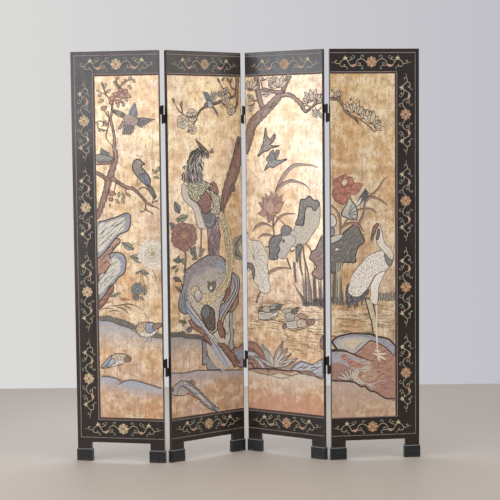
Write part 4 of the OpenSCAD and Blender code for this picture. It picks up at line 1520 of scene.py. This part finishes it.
def lotus_3(p):
    """Third panel: lotus flower, leaves, stems and reeds."""
    p.at(0.15)
    for x, tall, w in ((306, 150, 9), (316, 200, 10), (330, 170, 11), (342, 130, 9), (356, 160, 10),
            (364, 190, 10), (386, 120, 9), (394, 150, 10)):
        p.line([(x, 694), (x - 4, 694 + tall * 0.5), (x - 10 + p.rng.uniform(-6, 8), 694 + tall)], w,
            p.rng.choice(("#6f6461", "#7d6a60", "#87817b")), taper=(1.0, 0.3))
        p.line([(x - 3, 696), (x - 8, 694 + tall * 0.6)], 1.8, INK)
    for i in range(9):
        p.line([(330 - i * 4, 698), (300 - i * 3, 730 + i * 2), (262 - i * 2, 742 + i * 7)], 3.6, "#77695f",
            taper=(1.0, 0.2))
    made = p.fill("296,706 310,712 340,706 352,722 370,730 384,722 401,728 401,688 350,692 300,690",
        "#66605c")
    dabs(p, made, 7, "#3b3735", 12, 88, 2.0)
    ripples(p, (3, 560, 398, 722), 136)
    ripples(p, (160, 470, 398, 566), 48, "#75624f")
    for run, w, shade in (("214,902 224,876 234,852", 8, "#7d5c48"), ("230,936 246,934 254,944", 7,
            "#6d5c52"), ("250,884 254,840 258,792", 11, "#6d6a6c"), ("296,962 304,905 316,862 326,820", 8,
            "#7a6152"), ("286,946 282,880 292,826", 10, "#77716d"), ("312,970 330,952 342,926", 6,
            "#7a5c48"), ("148,1096 142,1052 148,1002", 8, "#7d5c49"), ("150,1096 182,1070 212,1046", 5,
            "#7d6a58"), ("72,744 58,716 48,688", 8, "#76543c"), ("262,960 268,920 266,884", 10, "#6b6a6b"),
            ("100,952 112,948 122,956", 7, "#7a5c48")):
        p.line(run, w, shade, taper=(1.0, 0.6))
        p.line([(q.x + w / 2, q.y) for q in route(run)], 1.3, INK)
    for run, w in (("153,1186 180,1240 205,1275 235,1305 270,1320 345,1318 374,1307", (5, 14, 19, 20, 17, 13,
            8, 2)), ("158,1198 184,1226 215,1243 250,1248 310,1232 334,1208", (4, 15, 17, 15, 10, 6, 2)),
            ("34,1014 54,1040 84,1053 112,1051 140,1038", (3, 12, 14, 11, 4)),
            ("60,984 86,1001 112,1003 152,998", (3, 10, 11, 5)), ("144,1038 164,1070 190,1092 222,1101 "
            "264,1100", (5, 12, 11, 8, 2)), ("114,824 146,845 190,856 238,853", (12, 15, 9, 3))):
        rolled_edge(p, run, w, ("#5d4437", "#8a6857", "#9a7866", "#6d5043"), 1.2)
    p.at(0.35)
    shape(p, "401,1002 362,946 344,936 332,904 350,890 366,868 352,850 346,829 401,826", "#875a4e",
        "#5f5250")
    dabs(p, "345,900 385,950 400,900 390,850 360,850", 14, "#4a3836", 22, 60, 1.8, 0.2)
    leaf = shape(p, "3,1006 16,984 32,977 56,977 80,966 108,924 116,898 112,860 119,829 118,796 128,762 "
        "118,742 98,735 66,748 60,772 44,780 36,806 26,840 3,850", "#e2dbce", "#dcd3c3", edge="#4f4943")
    dots(p, leaf, 13, "#756d62", 1.9)
    for tip in ("3,950", "30,976", "62,974", "92,945", "112,905", "112,860", "116,800", "96,738"):
        heart, end = point("34,900"), point(tip)
        p.line([heart, (end + heart) / 2 + Vector((4, 6)), end], 1.7, "#6c655d", taper=(1.0, 0.4))
    shape(p, "3,872 30,868 42,846 42,810 34,800 26,840 3,852", "#5f5b58")
    body = shape(p, "306,1136 330,1140 360,1130 378,1150 387,1122 381,1060 366,1038 325,984 306,966 286,968 "
        "262,955 240,960 222,990 232,1020 252,1032 264,1056 298,1050 310,1084", "#c3b9a8", "#bab09d",
        edge="#4f4943")
    dots(p, body, 10, "#544e4a", 1.7)
    dabs(p, "240,965 290,975 340,1020 370,1080 380,1130 340,1120 310,1060 260,1020", 30, "#8a7c6e", 30, 55,
        1.6)
    pale = shape(p, "164,950 174,985 194,1006 226,1010 252,1000 260,972 238,950 218,922 202,898 170,904 "
        "166,930", "#b9b3aa", "#c8c2b8", edge="#4f4943")
    dabs(p, pale, 14, "#8d867c", 14, 50, 1.2)
    rim = shape(p, "260,1056 274,1090 284,1150 291,1168 311,1168 331,1183 356,1164 372,1166 384,1148 "
        "374,1135 366,1120 352,1120 344,1132 320,1134 311,1120 304,1076 298,1050 284,1052", "#585759",
        "#635d5e")
    shape(p, "120,955 126,982 142,996 186,1006 186,985 172,960 178,938 165,916 166,898 142,892 122,898 "
        "122,930", "#5c5f61", "#6c6f70")
    shape(p, "184,1008 190,1040 206,1050 226,1046 240,1032 226,1010 210,1004", "#68666f")
    for loop in ([(q.x, q.y) for q in rim], "122,930 142,990 180,1000 165,910 130,900"):
        dabs(p, loop, 16, "#45454a", 16, 75, 1.6, 0.2)
    p.dot("197,978", 9, "#4b4846", 10)
    shape(p, "262,940 270,962 286,966 292,950 280,930 270,892 263,890", "#5e5e5f")
    p.at(0.6)
    for tip, w in (("104,1192", 36), ("136,1204", 36), ("168,1192", 36), ("196,1188", 34), ("84,1178", 36),
            ("204,1156", 36), ("66,1150", 36), ("58,1098", 32), ("118,1058", 38), ("186,1120", 34)):
        leaflet(p, "138,1112", tip, w, blended("#a97a69", "#93675c", p.rng.random()), edge="#5d4340",
            edge_w=1.5)
    for base, tip, w, shade in (("150,1108", "196,1152", 34, "#b28671"), ("112,1100", "72,1102", 34,
            "#ae8070"), ("122,1102", "100,1168", 38, "#b48a78"), ("130,1094", "128,1168", 46, "#bd9581")):
        leaflet(p, base, tip, w, shade, edge="#5d4340", edge_w=1.5)


def pond_3(p):
    """Third panel: ducks, shore rocks and the rust ground."""
    p.at(0.0)
    p.fill("3,306 401,306 401,200 3,200", "#c68666", cover=0.8, sharp=True, fade="0,215 0,312")
    bank(p, "3,376 60,366 120,362 170,374 230,368 280,380 350,374 401,358", 72, "#d3c4b2", 0)
    for run in ("3,380 50,372 120,356", "60,378 130,370 200,380", "120,360 180,352 240,366",
            "260,386 320,382 380,364"):
        p.line(run, 3.4, "#3f332b", taper=(0.4, 0.4))
    p.at(0.12)
    p.fill("3,508 30,513 75,490 100,450 128,398 180,398 250,440 250,412 234,398 232,378 3,378", "#a3826f",
        cover=0.9)
    rust = ("#57382c", "#9a6650", "#a97560", "#87563f", "#4a3229")
    limb(p, "-4,488 36,486 72,452 104,412 124,380", (34, 40, 36, 34, 30), rust, 5)
    limb(p, "-4,450 30,450 62,424 92,384", (26, 28, 26, 22), ("#55565f", "#a3a5b2", "#d6d0c6", "#a9a09c",
        "#5d4a40"), 3)
    limb(p, "-4,418 24,414 48,384", (24, 26, 22), rust, 3)
    for tip, w, shade in (("78,502", 38, "#9b9d9c"), ("112,476", 22, "#b7b4ab"), ("190,524", 42, "#9d8279"),
            ("216,494", 26, "#b39f97"), ("236,470", 18, "#8c7567"), ("268,450", 26, "#c9bda9"),
            ("242,432", 16, "#d8cfba"), ("206,424", 14, "#93977f"), ("34,446", 18, "#8f8b90")):
        leaflet(p, "144,394", tip, w, shade, -0.3 if w < 30 else -0.15, INK, INK, 1.2)
        leaflet(p, "144,400", point(tip).lerp(point("144,394"), 0.25), w * 0.35, "#ddd5c6", -0.25)
    p.line("3,378 40,386 90,388 140,390 200,388 260,390 300,382", 4.0, INK, taper=(1.0, 0.4))
    rock(p, "232,394 268,430 286,437 338,427 352,430 375,445 401,453 401,374 350,380 280,392", "#8a90a0",
        "#b3b8c2", 0.8, (0, -2), 18, 13)
    p.fill("280,392 320,400 350,392 362,376 320,374", "#7b5a4a")
    shape(p, "401,560 386,546 382,516 401,498", "#87605a")
    p.at(0.4)
    shape(p, "60,656 66,672 82,676 88,660 80,646 64,644", "#57493f")
    shape(p, "60,640 68,650 100,652 140,654 168,650 152,634 110,618 76,614 62,622", "#c6beb1", "#ded7c9")
    shape(p, "80,662 92,674 110,678 124,670 120,650 96,648", "#b7a796")
    dabs(p, "66,640 100,650 150,652 140,630 90,620", 7, INK, 9, 20, 1.0, 0.3, 20)
    fan(p, "116,674 126,652", "172,690 164,656", 4, 12, ("#8f98a4", "#d3ccc0", "#4d4c4c"), rib=INK)
    fan(p, "150,676 156,664", "198,692 186,670", 3, 10, ("#57564f", "#6c6a60"), rib=INK)
    shape(p, "182,660 206,672 236,672 250,656 228,646 200,650", "#b3a591")
    shape(p, "204,644 222,654 246,650 252,628 240,612 214,614 206,626", "#8d8b86", "#c4bdb2")
    dots(p, "206,640 240,648 246,620 214,616", 7, "#55534f", 1.7)
    fan(p, "232,660 240,652", "278,684 268,654", 4, 12, ("#5f5d54", "#77746a"), rib=INK)
    shape(p, "268,646 288,656 318,640 310,630 274,634", "#a08470")
    shape(p, "206,600 214,612 236,616 262,622 280,612 270,590 240,582 216,584", "#d5cdc0")
    dabs(p, "212,588 214,610 260,618 272,590 250,586", 7, INK, 8, 60, 1.0, 0.3, 25)
    shape(p, "264,616 280,628 306,626 320,608 300,594 270,592", "#cbb9a8")
    shape(p, "312,616 324,628 354,630 356,616 336,604 318,604", "#8f6257")
    dabs(p, "272,600 284,624 318,620 352,628 336,608 300,598", 7, "#4b3a33", 9, 20, 1.1, 0.3, 25)
    shape(p, "188,582 192,600 204,606 210,594 204,580", "#5f4439")
    for run in ("60,614 110,612 150,624 168,640", "206,578 250,576 290,584 330,600", "190,606 186,612"):
        p.line(run, 2.2, INK, taper=(0.5, 0.5))
    for spot in ("70,664", "199,592"):
        p.dot(spot, 2, "#e9dcc0")


def branch_4(p):
    """Fourth panel: the tip of the blossom branch."""
    p.at(0.2)
    limb(p, "-4,1614 45,1602 68,1560 82,1545 114,1522 130,1500", (13, 13, 11, 11, 11, 12, 10, 8, 2),
        BROWN_BARK, 2)
    for run in ("104,1534 134,1520 180,1486 202,1464 218,1496", "134,1520 160,1528 184,1548 200,1562",
            "45,1602 48,1622 50,1640", "20,1610 26,1626 16,1640", "68,1560 92,1556"):
        twig(p, run, 5.5)
    p.at(0.4)
    for x, y, reach, turn in ((84, 1556, 40, 70), (112, 1552, 46, 95), (128, 1540, 40, 60), (166, 1520, 42,
            85), (186, 1500, 52, 75), (200, 1486, 36, 30), (40, 1618, 30, 110)):
        bloom(p, (x, y), reach, turn, 5, "#cfbb9e", 1.0)
    leaves(p, "#a8957a", "150,1566 162,1558 92,1600 96,1614 120,1602 124,1608 212,1496 226,1512 186,1548 "
        "178,1560 16,1640 8,1652")


def lotus_4(p):
    """Fourth panel: the red bloom, seed pod, reeds and dark lotus leaf."""
    p.at(0.15)
    for x, tall, w in ((8, 130, 8), (16, 170, 9), (26, 150, 9), (34, 180, 8), (44, 140, 8), (52, 60, 7)):
        p.line([(x, 706), (x + 2, 706 + tall * 0.5), (x + p.rng.uniform(-5, 6), 706 + tall)], w,
            p.rng.choice(("#77715f", "#8f8a77", "#6a665c", "#c2b99f")), taper=(1.0, 0.4))
        p.line([(x + w / 2, 708), (x + w / 2, 706 + tall * 0.8)], 1.6, INK)
    for grass in ("3,734 60,724 84,714 84,700 50,698 3,704", "214,750 240,746 262,750 292,744 292,714 "
            "250,712 216,716"):
        made = p.fill(grass, "#77706a", cover=0.9)
        dabs(p, made, 8, "#46413d", 16, 88, 2.2)
        dabs(p, made, 13, "#c3b8a6", 12, 88, 2.0)
    ripples(p, (3, 565, 290, 704), 136, "#705943")
    for run, w in (("152,1146 176,1176 206,1201 226,1226 240,1250 259,1265", (6, 15, 11, 7, 7, 2)),
            ("158,1158 180,1174 210,1169 240,1152 256,1138", (7, 13, 11, 8, 2)),
            ("110,1116 150,1124 182,1122 208,1106", (6, 9, 9, 3)), ("124,1050 140,1080 152,1110 156,1152",
            (9, 11, 9, 7)), ("3,1142 26,1120 40,1090 45,1050 43,1012", (6, 9, 11, 9, 4)),
            ("42,1034 70,1054 100,1061 130,1050 149,1022", (6, 12, 12, 10, 3)), ("60,1050 74,1074 88,1086",
            (8, 7, 4)), ("118,1082 118,1046", (5, 5))):
        rolled_edge(p, run, w, ("#5d4437", "#8d6855", "#9c7764", "#6d4d3f"), 1.3)
    shape(p, "3,1100 20,1092 28,1066 16,1048 3,1050", "#d5cec6")
    shape(p, "3,1046 18,1036 16,1012 3,1008", "#867f8d")
    p.at(0.35)
    leaf = shape(p, "3,972 22,980 44,998 60,1020 100,1052 116,1057 127,1046 137,1020 152,990 150,974 "
        "130,960 120,944 112,914 112,888 60,888 50,868 30,848 3,850", "#605e5d", "#6e6a67")
    dabs(p, leaf, 15, "#403e3d", 26, 50, 1.9, 0.15)
    dabs(p, leaf, 24, "#8d8a84", 16, 60, 1.7)
    shape(p, "3,1000 52,1013 48,996 26,980 3,974", "#a9adac", "#d6d3c8")
    shape(p, "18,944 28,954 38,948 32,940", "#dcd8ce")
    for x in (30, 40, 50):
        p.line([(x, 886), (x - 2, 850), (x + 2, 810)], 5, "#b4ad98", taper=(1, 0.4))
    fan(p, "120,1134 146,1150", "160,1216 172,1198", 4, 16, ("#696b70", "#5c5d61"), rib=INK)
    leaflet(p, "120,1136", "142,1176", 13, "#d6d1c6", edge=INK)
    leaflet(p, "136,1130", "152,1162", 11, "#cfcac0", edge=INK)
    pod = shape(p, "50,1102 74,1150 84,1180 98,1160 113,1140 121,1112 119,1084 98,1077 74,1086", "#a7aaa3",
        "#cdc3ad")
    dots(p, pod, 12, "#565650", 1.9)
    for tip in ("100,1150", "112,1138", "119,1118", "120,1098", "108,1080"):
        p.line("80,1100 " + tip, 4.4, "#667072", taper=(0.3, 1.0))
    shape(p, "20,1165 10,1200 20,1225 15,1250 35,1262 62,1276 80,1268 100,1262 112,1232 143,1232 135,1215 "
        "125,1200 100,1195 85,1185 78,1165 60,1145 45,1150", "#9a5b47", edge="#4d2c23")
    for base, tip, w in (("66,1230", "36,1268", 30), ("76,1230", "66,1280", 34), ("84,1230", "100,1266", 32),
            ("52,1215", "12,1244", 34), ("50,1200", "14,1200", 32), ("58,1190", "26,1164", 36),
            ("66,1188", "54,1144", 38), ("74,1195", "86,1168", 34), ("92,1212", "148,1234", 40),
            ("90,1204", "128,1196", 30), ("66,1200", "40,1216", 26), ("72,1200", "94,1224", 30)):
        leaflet(p, base, tip, w, "#af6a54", edge="#4d2c23", edge_w=1.6)
    shape(p, "50,1240 56,1254 72,1258 80,1246 70,1230 58,1228", "#dcc9a4")
    dots(p, "50,1240 58,1254 74,1256 78,1244 62,1232", 6, "#8a6340", 1.5)


def crane(p):
    """Fourth panel: the white crane with its slate neck and dark tail."""
    p.at(0.7)
    for run, w in (("206,712 207,650 206,600 208,540 213,462", 8), ("214,468 190,478", 8),
            ("212,472 250,474", 9), ("214,466 248,448", 10), ("212,462 222,440", 9), ("200,490 222,484",
            10)):
        p.line(run, w, "#ddd2bd", taper=(1.0, 0.6), raised=True)
    leg = shape(p, "158,722 184,714 200,662 207,604 204,560 192,570 184,620 172,662", "#d6c48f", "#c6bca3")
    dots(p, leg, 8, "#5a5548", 1.9)
    for i in range(9):
        root = Vector((84, 752)).lerp(Vector((172, 756)), i / 8)
        leaflet(p, root + Vector((0, 12)), (78 + i * 10, 676 + (i % 3) * 12 + max(0, i - 4) * 9), 17,
            ("#4c4d55", "#5d5f68")[i % 2], rib="#2e2d31", edge=INK)
    shape(p, "82,792 70,766 68,742 78,706 96,716 92,736 100,760", "#4f5057")
    body = shape(p, "242,942 190,926 160,906 100,836 79,770 82,750 100,736 130,736 166,770 204,829 238,828 "
        "252,850 272,872 282,895 272,916 252,938", "#ece3d6", "#e9e0d4", edge="#5f5a55")
    dots(p, body, 9.5, "#4c4b4e", 2.2)
    shape(p, "180,782 204,826 246,846 232,810 217,770 212,704 200,698 184,706 177,722 181,750", "#e2d8ca",
        "#efe6d9", edge="#5f5a55")
    shape(p, "244,922 262,916 281,900 277,878 262,868 250,890", "#7b8076", "#5f655f")
    shape(p, "211,1050 226,1041 241,985 252,962 271,946 284,921 281,895 262,906 214,962 209,986 221,1010 "
        "214,1036", "#d6ccbd", "#e4dbcd", edge="#5f5a55")
    shape(p, "215,1035 223,1030 221,1005 213,985 206,990 210,1012", "#5c6069")
    shape(p, "185,1004 190,1030 200,1051 213,1060 218,1048 207,1036 202,1014 193,1003", "#855647")
    shape(p, "182,990 188,1010 196,1008 190,984", "#6d5a48")
    for spot in ("190,980", "194,972"):
        p.dot(spot, 2, INK)


def rocks_4(p):
    """Fourth panel: the rocks at the crane's feet and the bank."""
    p.at(0.05)
    crest = "3,360 100,350 136,328 152,330 176,308 200,302 241,275 262,270 293,270"
    bank(p, crest, 78, "#b39d90", 0)
    shape(p, "3,456 40,450 90,436 116,404 110,352 50,358 3,361", "#8b6a5c", "#a27866", edge=None)
    shape(p, "100,352 122,340 136,329 152,331 176,309 200,303 241,276 262,271 293,271 293,468 262,500 "
        "200,534 170,536 140,512 112,484 96,440", "#a07363", "#ab7d6b", edge=None)
    p.fill("150,400 190,404 214,380 196,356 160,352 140,372", "#ad8c79", cover=0.6)
    p.line(crest, 4.0, INK)
    band = shape(p, "8,540 30,556 100,569 182,562 204,553 256,541 276,526 293,505 293,462 248,502 200,529 "
        "172,532 150,512 120,486 100,478 60,497 26,500 10,524", "#a5a2aa", "#918f9b")
    dabs(p, band, 17, "#5d6175", 18, 20, 1.6, 0.2)
    p.fill("22,536 80,554 150,552 172,538 136,506 100,482 60,498 28,508", "#aeaaab", core="#d8c49f")
    p.line("3,498 26,500 10,524 8,540 30,556 60,564 100,570 140,567 182,563 204,554 256,542 276,527 293,506",
        4.5, INK)
    p.line("3,490 40,492 70,488 110,472 150,456 196,440", 3.6, INK, taper=(1.0, 0.2))
    p.line("104,492 124,512 142,532", 4, "#87836f", taper=(0.4, 0.4))
    p.fill("3,486 52,486 90,472 130,456 172,441 190,420 160,400 110,404 40,440 3,440", "#a8a3aa", "#989aa8",
        fade="120,440 192,420")
    rust = p.fill("46,474 70,476 84,454 120,440 150,422 122,410 84,422 74,444 54,452", "#b06a5c", "#a45a4c",
        cover=0.85)
    dabs(p, rust, 12, "#6b3d31", 20, 30, 1.6, 0.2, 16)
    dabs(p, rust, 15, "#c9a899", 12, 30, 2.2, 0.2, 16)
    dabs(p, "110,470 150,505 200,525 280,470 285,300 220,310 160,345 115,380", 20, "#6f4239", 26, 20, 2.2,
        0.2)
    for base, tip in (("88,358", "60,410"), ("92,358", "84,420"), ("84,358", "36,400"), ("96,360", "98,410"),
            ("78,360", "20,380")):
        leaflet(p, base, tip, 8, "#d5ccbf", edge="#4a423b", edge_w=1.4)
    p.at(0.45)
    for x, y, r in ((114, 394, 12), (107, 378, 13), (114, 362, 12), (129, 352, 12), (144, 348, 9)):
        petals(p, (x, y), r, ((1.0, 5),), ("#ddd5c3",), "#7b6c5c", p.rng.uniform(0, 1), heart="#a58a62",
            edge_w=1.0)
    for run in ("112,402 150,411 200,400", "140,346 186,338 220,352 254,350", "160,340 186,330 204,318",
            "170,344 176,326 190,316"):
        p.line(run, 4.0, "#cbc3b8", taper=(0.3, 0.3))
    p.line("-2,548 8,560 30,556", 6, "#8a5547")


def bamboo(place):
    """The back of a panel: two thin frame lines and a clump of bamboo in dulled gold."""
    gold, pale = "#94754a", "#ab8d60"
    wide, top, foot = place.width / MM, place.height / MM, place.rail / MM
    p = Picture(sizes().seed * 100 + place.number, (20, wide - 20)).at(-0.2)
    for inset in (24, 34):
        corners = [(inset, foot + inset), (wide - inset, foot + inset), (wide - inset, top - inset),
            (inset, top - inset)]
        p.line([*corners, corners[0]], 2.0, gold, straight=True)
    for culm in range(3):
        joint = Vector((wide * (0.36 + 0.14 * culm) + p.rng.uniform(-12, 12), foot + 36))
        lean = p.rng.uniform(-0.05, 0.05)
        for i in range(p.rng.randrange(7, 11)):
            tip = joint + Vector((math.sin(lean), math.cos(lean))) * p.rng.uniform(110, 150)
            p.line([joint, joint.lerp(tip, 0.5), tip - (tip - joint) * 0.03], 9 - 0.7 * i, gold, pale,
                straight=True)
            if i > 1:
                side = (-1) ** (i + culm)
                end = tip + Vector((side * p.rng.uniform(20, 40), p.rng.uniform(8, 30)))
                p.line([tip, end], 1.8, gold, straight=True)
                for k in range(5):
                    a = math.radians(-90 + side * (8 + 26 * k))
                    leaf = Vector((math.cos(a), math.sin(a))) * p.rng.uniform(40, 62)
                    leaflet(p, end, end + leaf, 9, (gold, pale)[k % 2], bend=4 * side)
            joint, lean = tip, lean + p.rng.uniform(-0.03, 0.03)
    return p


# ---------------------------------------------------------------- stage

def floor_finish():
    """Plain matt paint with a faint unevenness."""
    material, tree, surface, place = shader("matt_floor")
    shade = colours().floor
    worn = (*(c * 0.93 for c in shade), 1.0)
    feed(surface, {"Base Color": mixed(tree, noise(tree, place, 0.6, 2.0), (*shade, 1.0), worn),
        "Roughness": 0.5})
    return material


def area_lamp(name, place, target, width, height, power, tint):
    """A soft lamp at a place, facing a target, of that size in metres and power in watts."""
    data = bpy.data.lights.new(name, "AREA")
    data.shape, data.size, data.size_y = "RECTANGLE", width, height
    data.energy, data.color = power, linear(tint)
    aim = (Vector(target) - Vector(place)).to_track_quat("-Z", "Y")
    linked(name, data).matrix_world = Matrix.Translation(place) @ aim.to_matrix().to_4x4()


LAMPS = (  # name, place, target, width and height in metres, power in watts, and tint
    ("window_left", (-2.75, -1.5, 1.68), (0.15, 0.0, 1.68), 1.0, 1.05, 19, "#f8f9ff"),
    ("window_front_left", (-2.5, -3.95, 1.9), (-0.6, 0.0, 1.6), 1.2, 1.0, 18, "#fbfbff"),
    ("soft_right", (4.0, -2.4, 1.6), (0.0, 0.0, 1.2), 3.6, 2.2, 60, "#fffaf2"),
    ("low_left", (-3.4, -3.0, 0.8), (0.2, 0.0, 0.6), 1.8, 1.2, 37, "#fffaf4"),
    ("soft_front", (-0.8, -6.0, 3.2), (0.0, 0.0, 0.8), 3.0, 2.0, 25, "#fff6ec"),
    ("soft_top", (0.0, -0.8, 3.6), (0.0, 0.4, 0.0), 3.5, 2.5, 20, "#ffffff"),
    ("behind_screen", (-0.3, 0.68, 1.34), (-0.3, 0.68, 0.0), 1.1, 0.6, 8.5, "#f1f5ff"),
)


def build_world(scene):
    """Even light from all round. What the camera sees past the floor's far edge is the plain wall, with
    painted shade that makes it a little darker towards its right."""
    world = bpy.data.worlds.new("soft_room")
    scene.world = world
    world.use_nodes = True
    tree = world.node_tree
    light = tree.nodes["Background"]
    feed(light, {"Color": rgba("#f1f3fa"), "Strength": 0.6})
    towards = add(tree, "ShaderNodeTexCoord").outputs["Generated"]
    aside = add(tree, "ShaderNodeSeparateXYZ", {0: towards}).outputs["X"]
    # Painted shade: the backdrop darkens towards the right, away from the light that comes from the left.
    shade = mixed(tree, limits(tree, aside, -0.18, 0.18), (*colours().wall, 1.0), rgba("#c1c0c8"))
    wall = add(tree, "ShaderNodeBackground", {"Color": shade})
    seen = add(tree, "ShaderNodeLightPath").outputs["Is Camera Ray"]
    either = add(tree, "ShaderNodeMixShader", {0: seen, 1: light.outputs[0], 2: wall.outputs[0]})
    tree.links.new(either.outputs[0], tree.nodes["World Output"].inputs["Surface"])


def stand_camera(scene):
    """The camera, where the photograph was taken from."""
    camera = linked("camera", bpy.data.cameras.new("camera"))
    camera.data.sensor_width, camera.data.lens = 36.0, 98.5
    pitch, roll = math.radians(4.394), math.radians(-0.586)
    camera.matrix_world = (Matrix.Translation((0.0150, -6.1459, 1.4122)) @ Matrix.Rotation(math.pi / 2
        - pitch, 4, "X") @ Matrix.Rotation(roll, 4, "Z"))
    camera.data.clip_end = 60
    scene.camera = camera


def build_stage():
    """The floor, the world, the lamps and the camera."""
    scene = bpy.context.scene
    scene.view_settings.view_transform = "Standard"
    floor = plain_mesh("floor", [(-7, -9, 0), (7, -9, 0), (7, 1.8, 0), (-7, 1.8, 0)], [(0, 1, 2, 3)])
    floor.materials.append(floor_finish())
    linked("floor", floor)
    build_world(scene)
    for lamp in LAMPS:
        area_lamp(*lamp)
    stand_camera(scene)


# ---------------------------------------------------------------- operators

class BuildStage(bpy.types.Operator):
    """Plain floor, backdrop, soft lamps, world and the camera"""
    bl_idname = "screen.build_stage"
    bl_label = "Stage, lamps and camera"

    def execute(self, context):
        build_stage()
        return {"FINISHED"}


class FinishConstruction(bpy.types.Operator):
    """Finishes of the nodes that stay: core planks, shoes, nails, hinge leaves, pins and screws"""
    bl_idname = "screen.finish_construction"
    bl_label = "Core, shoes and hinges"

    def execute(self, context):
        finishes = {"core_planks": sawn_wood(), "shoe": lacquered_metal(), "leaves": painted_iron(),
            "nails": bare_metal("dulled_brass", "#8a7048", 0.42), "screws": bare_metal("blackened_steel",
            "#4b4744", 0.45)}
        finishes["pin"] = finishes["leaves"]
        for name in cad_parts:
            for ending, material in finishes.items():
                if name.endswith(ending):
                    paint_node(name, material)
        return {"FINISHED"}


class BuildLacquer(bpy.types.Operator):
    """Black lacquer bodies of the four panels"""
    bl_idname = "screen.build_lacquer"
    bl_label = "Lacquer bodies"

    def execute(self, context):
        material = black_lacquer()
        for place in PLACES.values():
            lacquer_body(place, material)
        return {"FINISHED"}


class BuildGilding(bpy.types.Operator):
    """Gilded grounds, border lines and bands"""
    bl_idname = "screen.build_gilding"
    bl_label = "Gilding and border lines"

    def execute(self, context):
        gold = gold_leaf()
        line = thin_lacquer("rose_brown_lacquer", colours().border_line, 0.02)
        band = thin_lacquer("dark_brown_lacquer", colours().band, 0.02)
        for place in PLACES.values():
            layout = FaceLayout(place)
            gilding(place, layout, gold)
            border_lines(place, layout, line, band)
        return {"FINISHED"}


class BuildBorders(bpy.types.Operator):
    """Rosettes and scrolls of the borders"""
    bl_idname = "screen.build_borders"
    bl_label = "Border ornament"

    def execute(self, context):
        for place in PLACES.values():
            border_ornament(place)
        return {"FINISHED"}


PICTURES = {1: (rocks_1, trees_1, birds_1), 2: (rocks_2, trees_2, pheasant, small_bird_2),
    3: (pond_3, trees_3, swallows, lotus_3), 4: (rocks_4, branch_4, lotus_4, crane)}


class PaintPictures(bpy.types.Operator):
    """The birds, flowers, trees, rocks and water on the panels' gold"""
    bl_idname = "screen.paint_pictures"
    bl_label = "Pictures"

    def execute(self, context):
        margin = 0.4  # millimetres of gold that stay bare at a picture's two sides
        paint = mineral_paint()
        raised = thin_lacquer("raised_lacquer", None, 0.01, "#a88463", 0.2)
        for number, makers in PICTURES.items():
            place = PLACES[number]
            gold = FaceLayout(place).gold
            for maker in makers:
                picture = Picture(sizes().seed * 10 + number, (gold[0] / MM + margin, gold[2] / MM - margin))
                maker(picture)
                finish_picture(picture, maker.__name__, place, place.front_matrix(), paint, raised)
        return {"FINISHED"}


class PaintBacks(bpy.types.Operator):
    """Frame lines and bamboo on the backs, which the photograph doesn't show"""
    bl_idname = "screen.paint_backs"
    bl_label = "Backs"

    def execute(self, context):
        material = thin_lacquer("dulled_gold_lacquer")
        for place in PLACES.values():
            finish_picture(bamboo(place), "back", place, place.back_matrix(), material, material)
        return {"FINISHED"}


class SidebarPanel(bpy.types.Panel):
    """Sizes, colours and build steps of the screen"""
    bl_idname = "VIEW3D_PT_lacquer_screen"
    bl_label = "Lacquer screen"
    bl_space_type = "VIEW_3D"
    bl_region_type = "UI"
    bl_category = "Lacquer screen"

    def draw(self, context):
        for group in (context.scene.screen_sizes, context.scene.screen_colours):
            column = self.layout.column(align=True)
            for name in type(group).__annotations__:
                column.prop(group, name)
        for step in STEPS:
            self.layout.operator(step.bl_idname)


STEPS = (BuildStage, FinishConstruction, BuildLacquer, BuildGilding, BuildBorders, PaintPictures, PaintBacks)
CLASSES = (ScreenSizes, ScreenColours, *STEPS, SidebarPanel)


def register():
    for made in CLASSES:
        bpy.utils.register_class(made)
    bpy.types.Scene.screen_sizes = PointerProperty(type=ScreenSizes)
    bpy.types.Scene.screen_colours = PointerProperty(type=ScreenColours)


def unregister():
    del bpy.types.Scene.screen_colours
    del bpy.types.Scene.screen_sizes
    for made in reversed(CLASSES):
        bpy.utils.unregister_class(made)


def main():
    register()
    bpy.ops.screen.build_stage()
    bpy.ops.screen.finish_construction()
    bpy.ops.screen.build_lacquer()
    bpy.ops.screen.build_gilding()
    bpy.ops.screen.build_borders()
    bpy.ops.screen.paint_pictures()
    bpy.ops.screen.paint_backs()


if __name__ == "__main__":
    main()
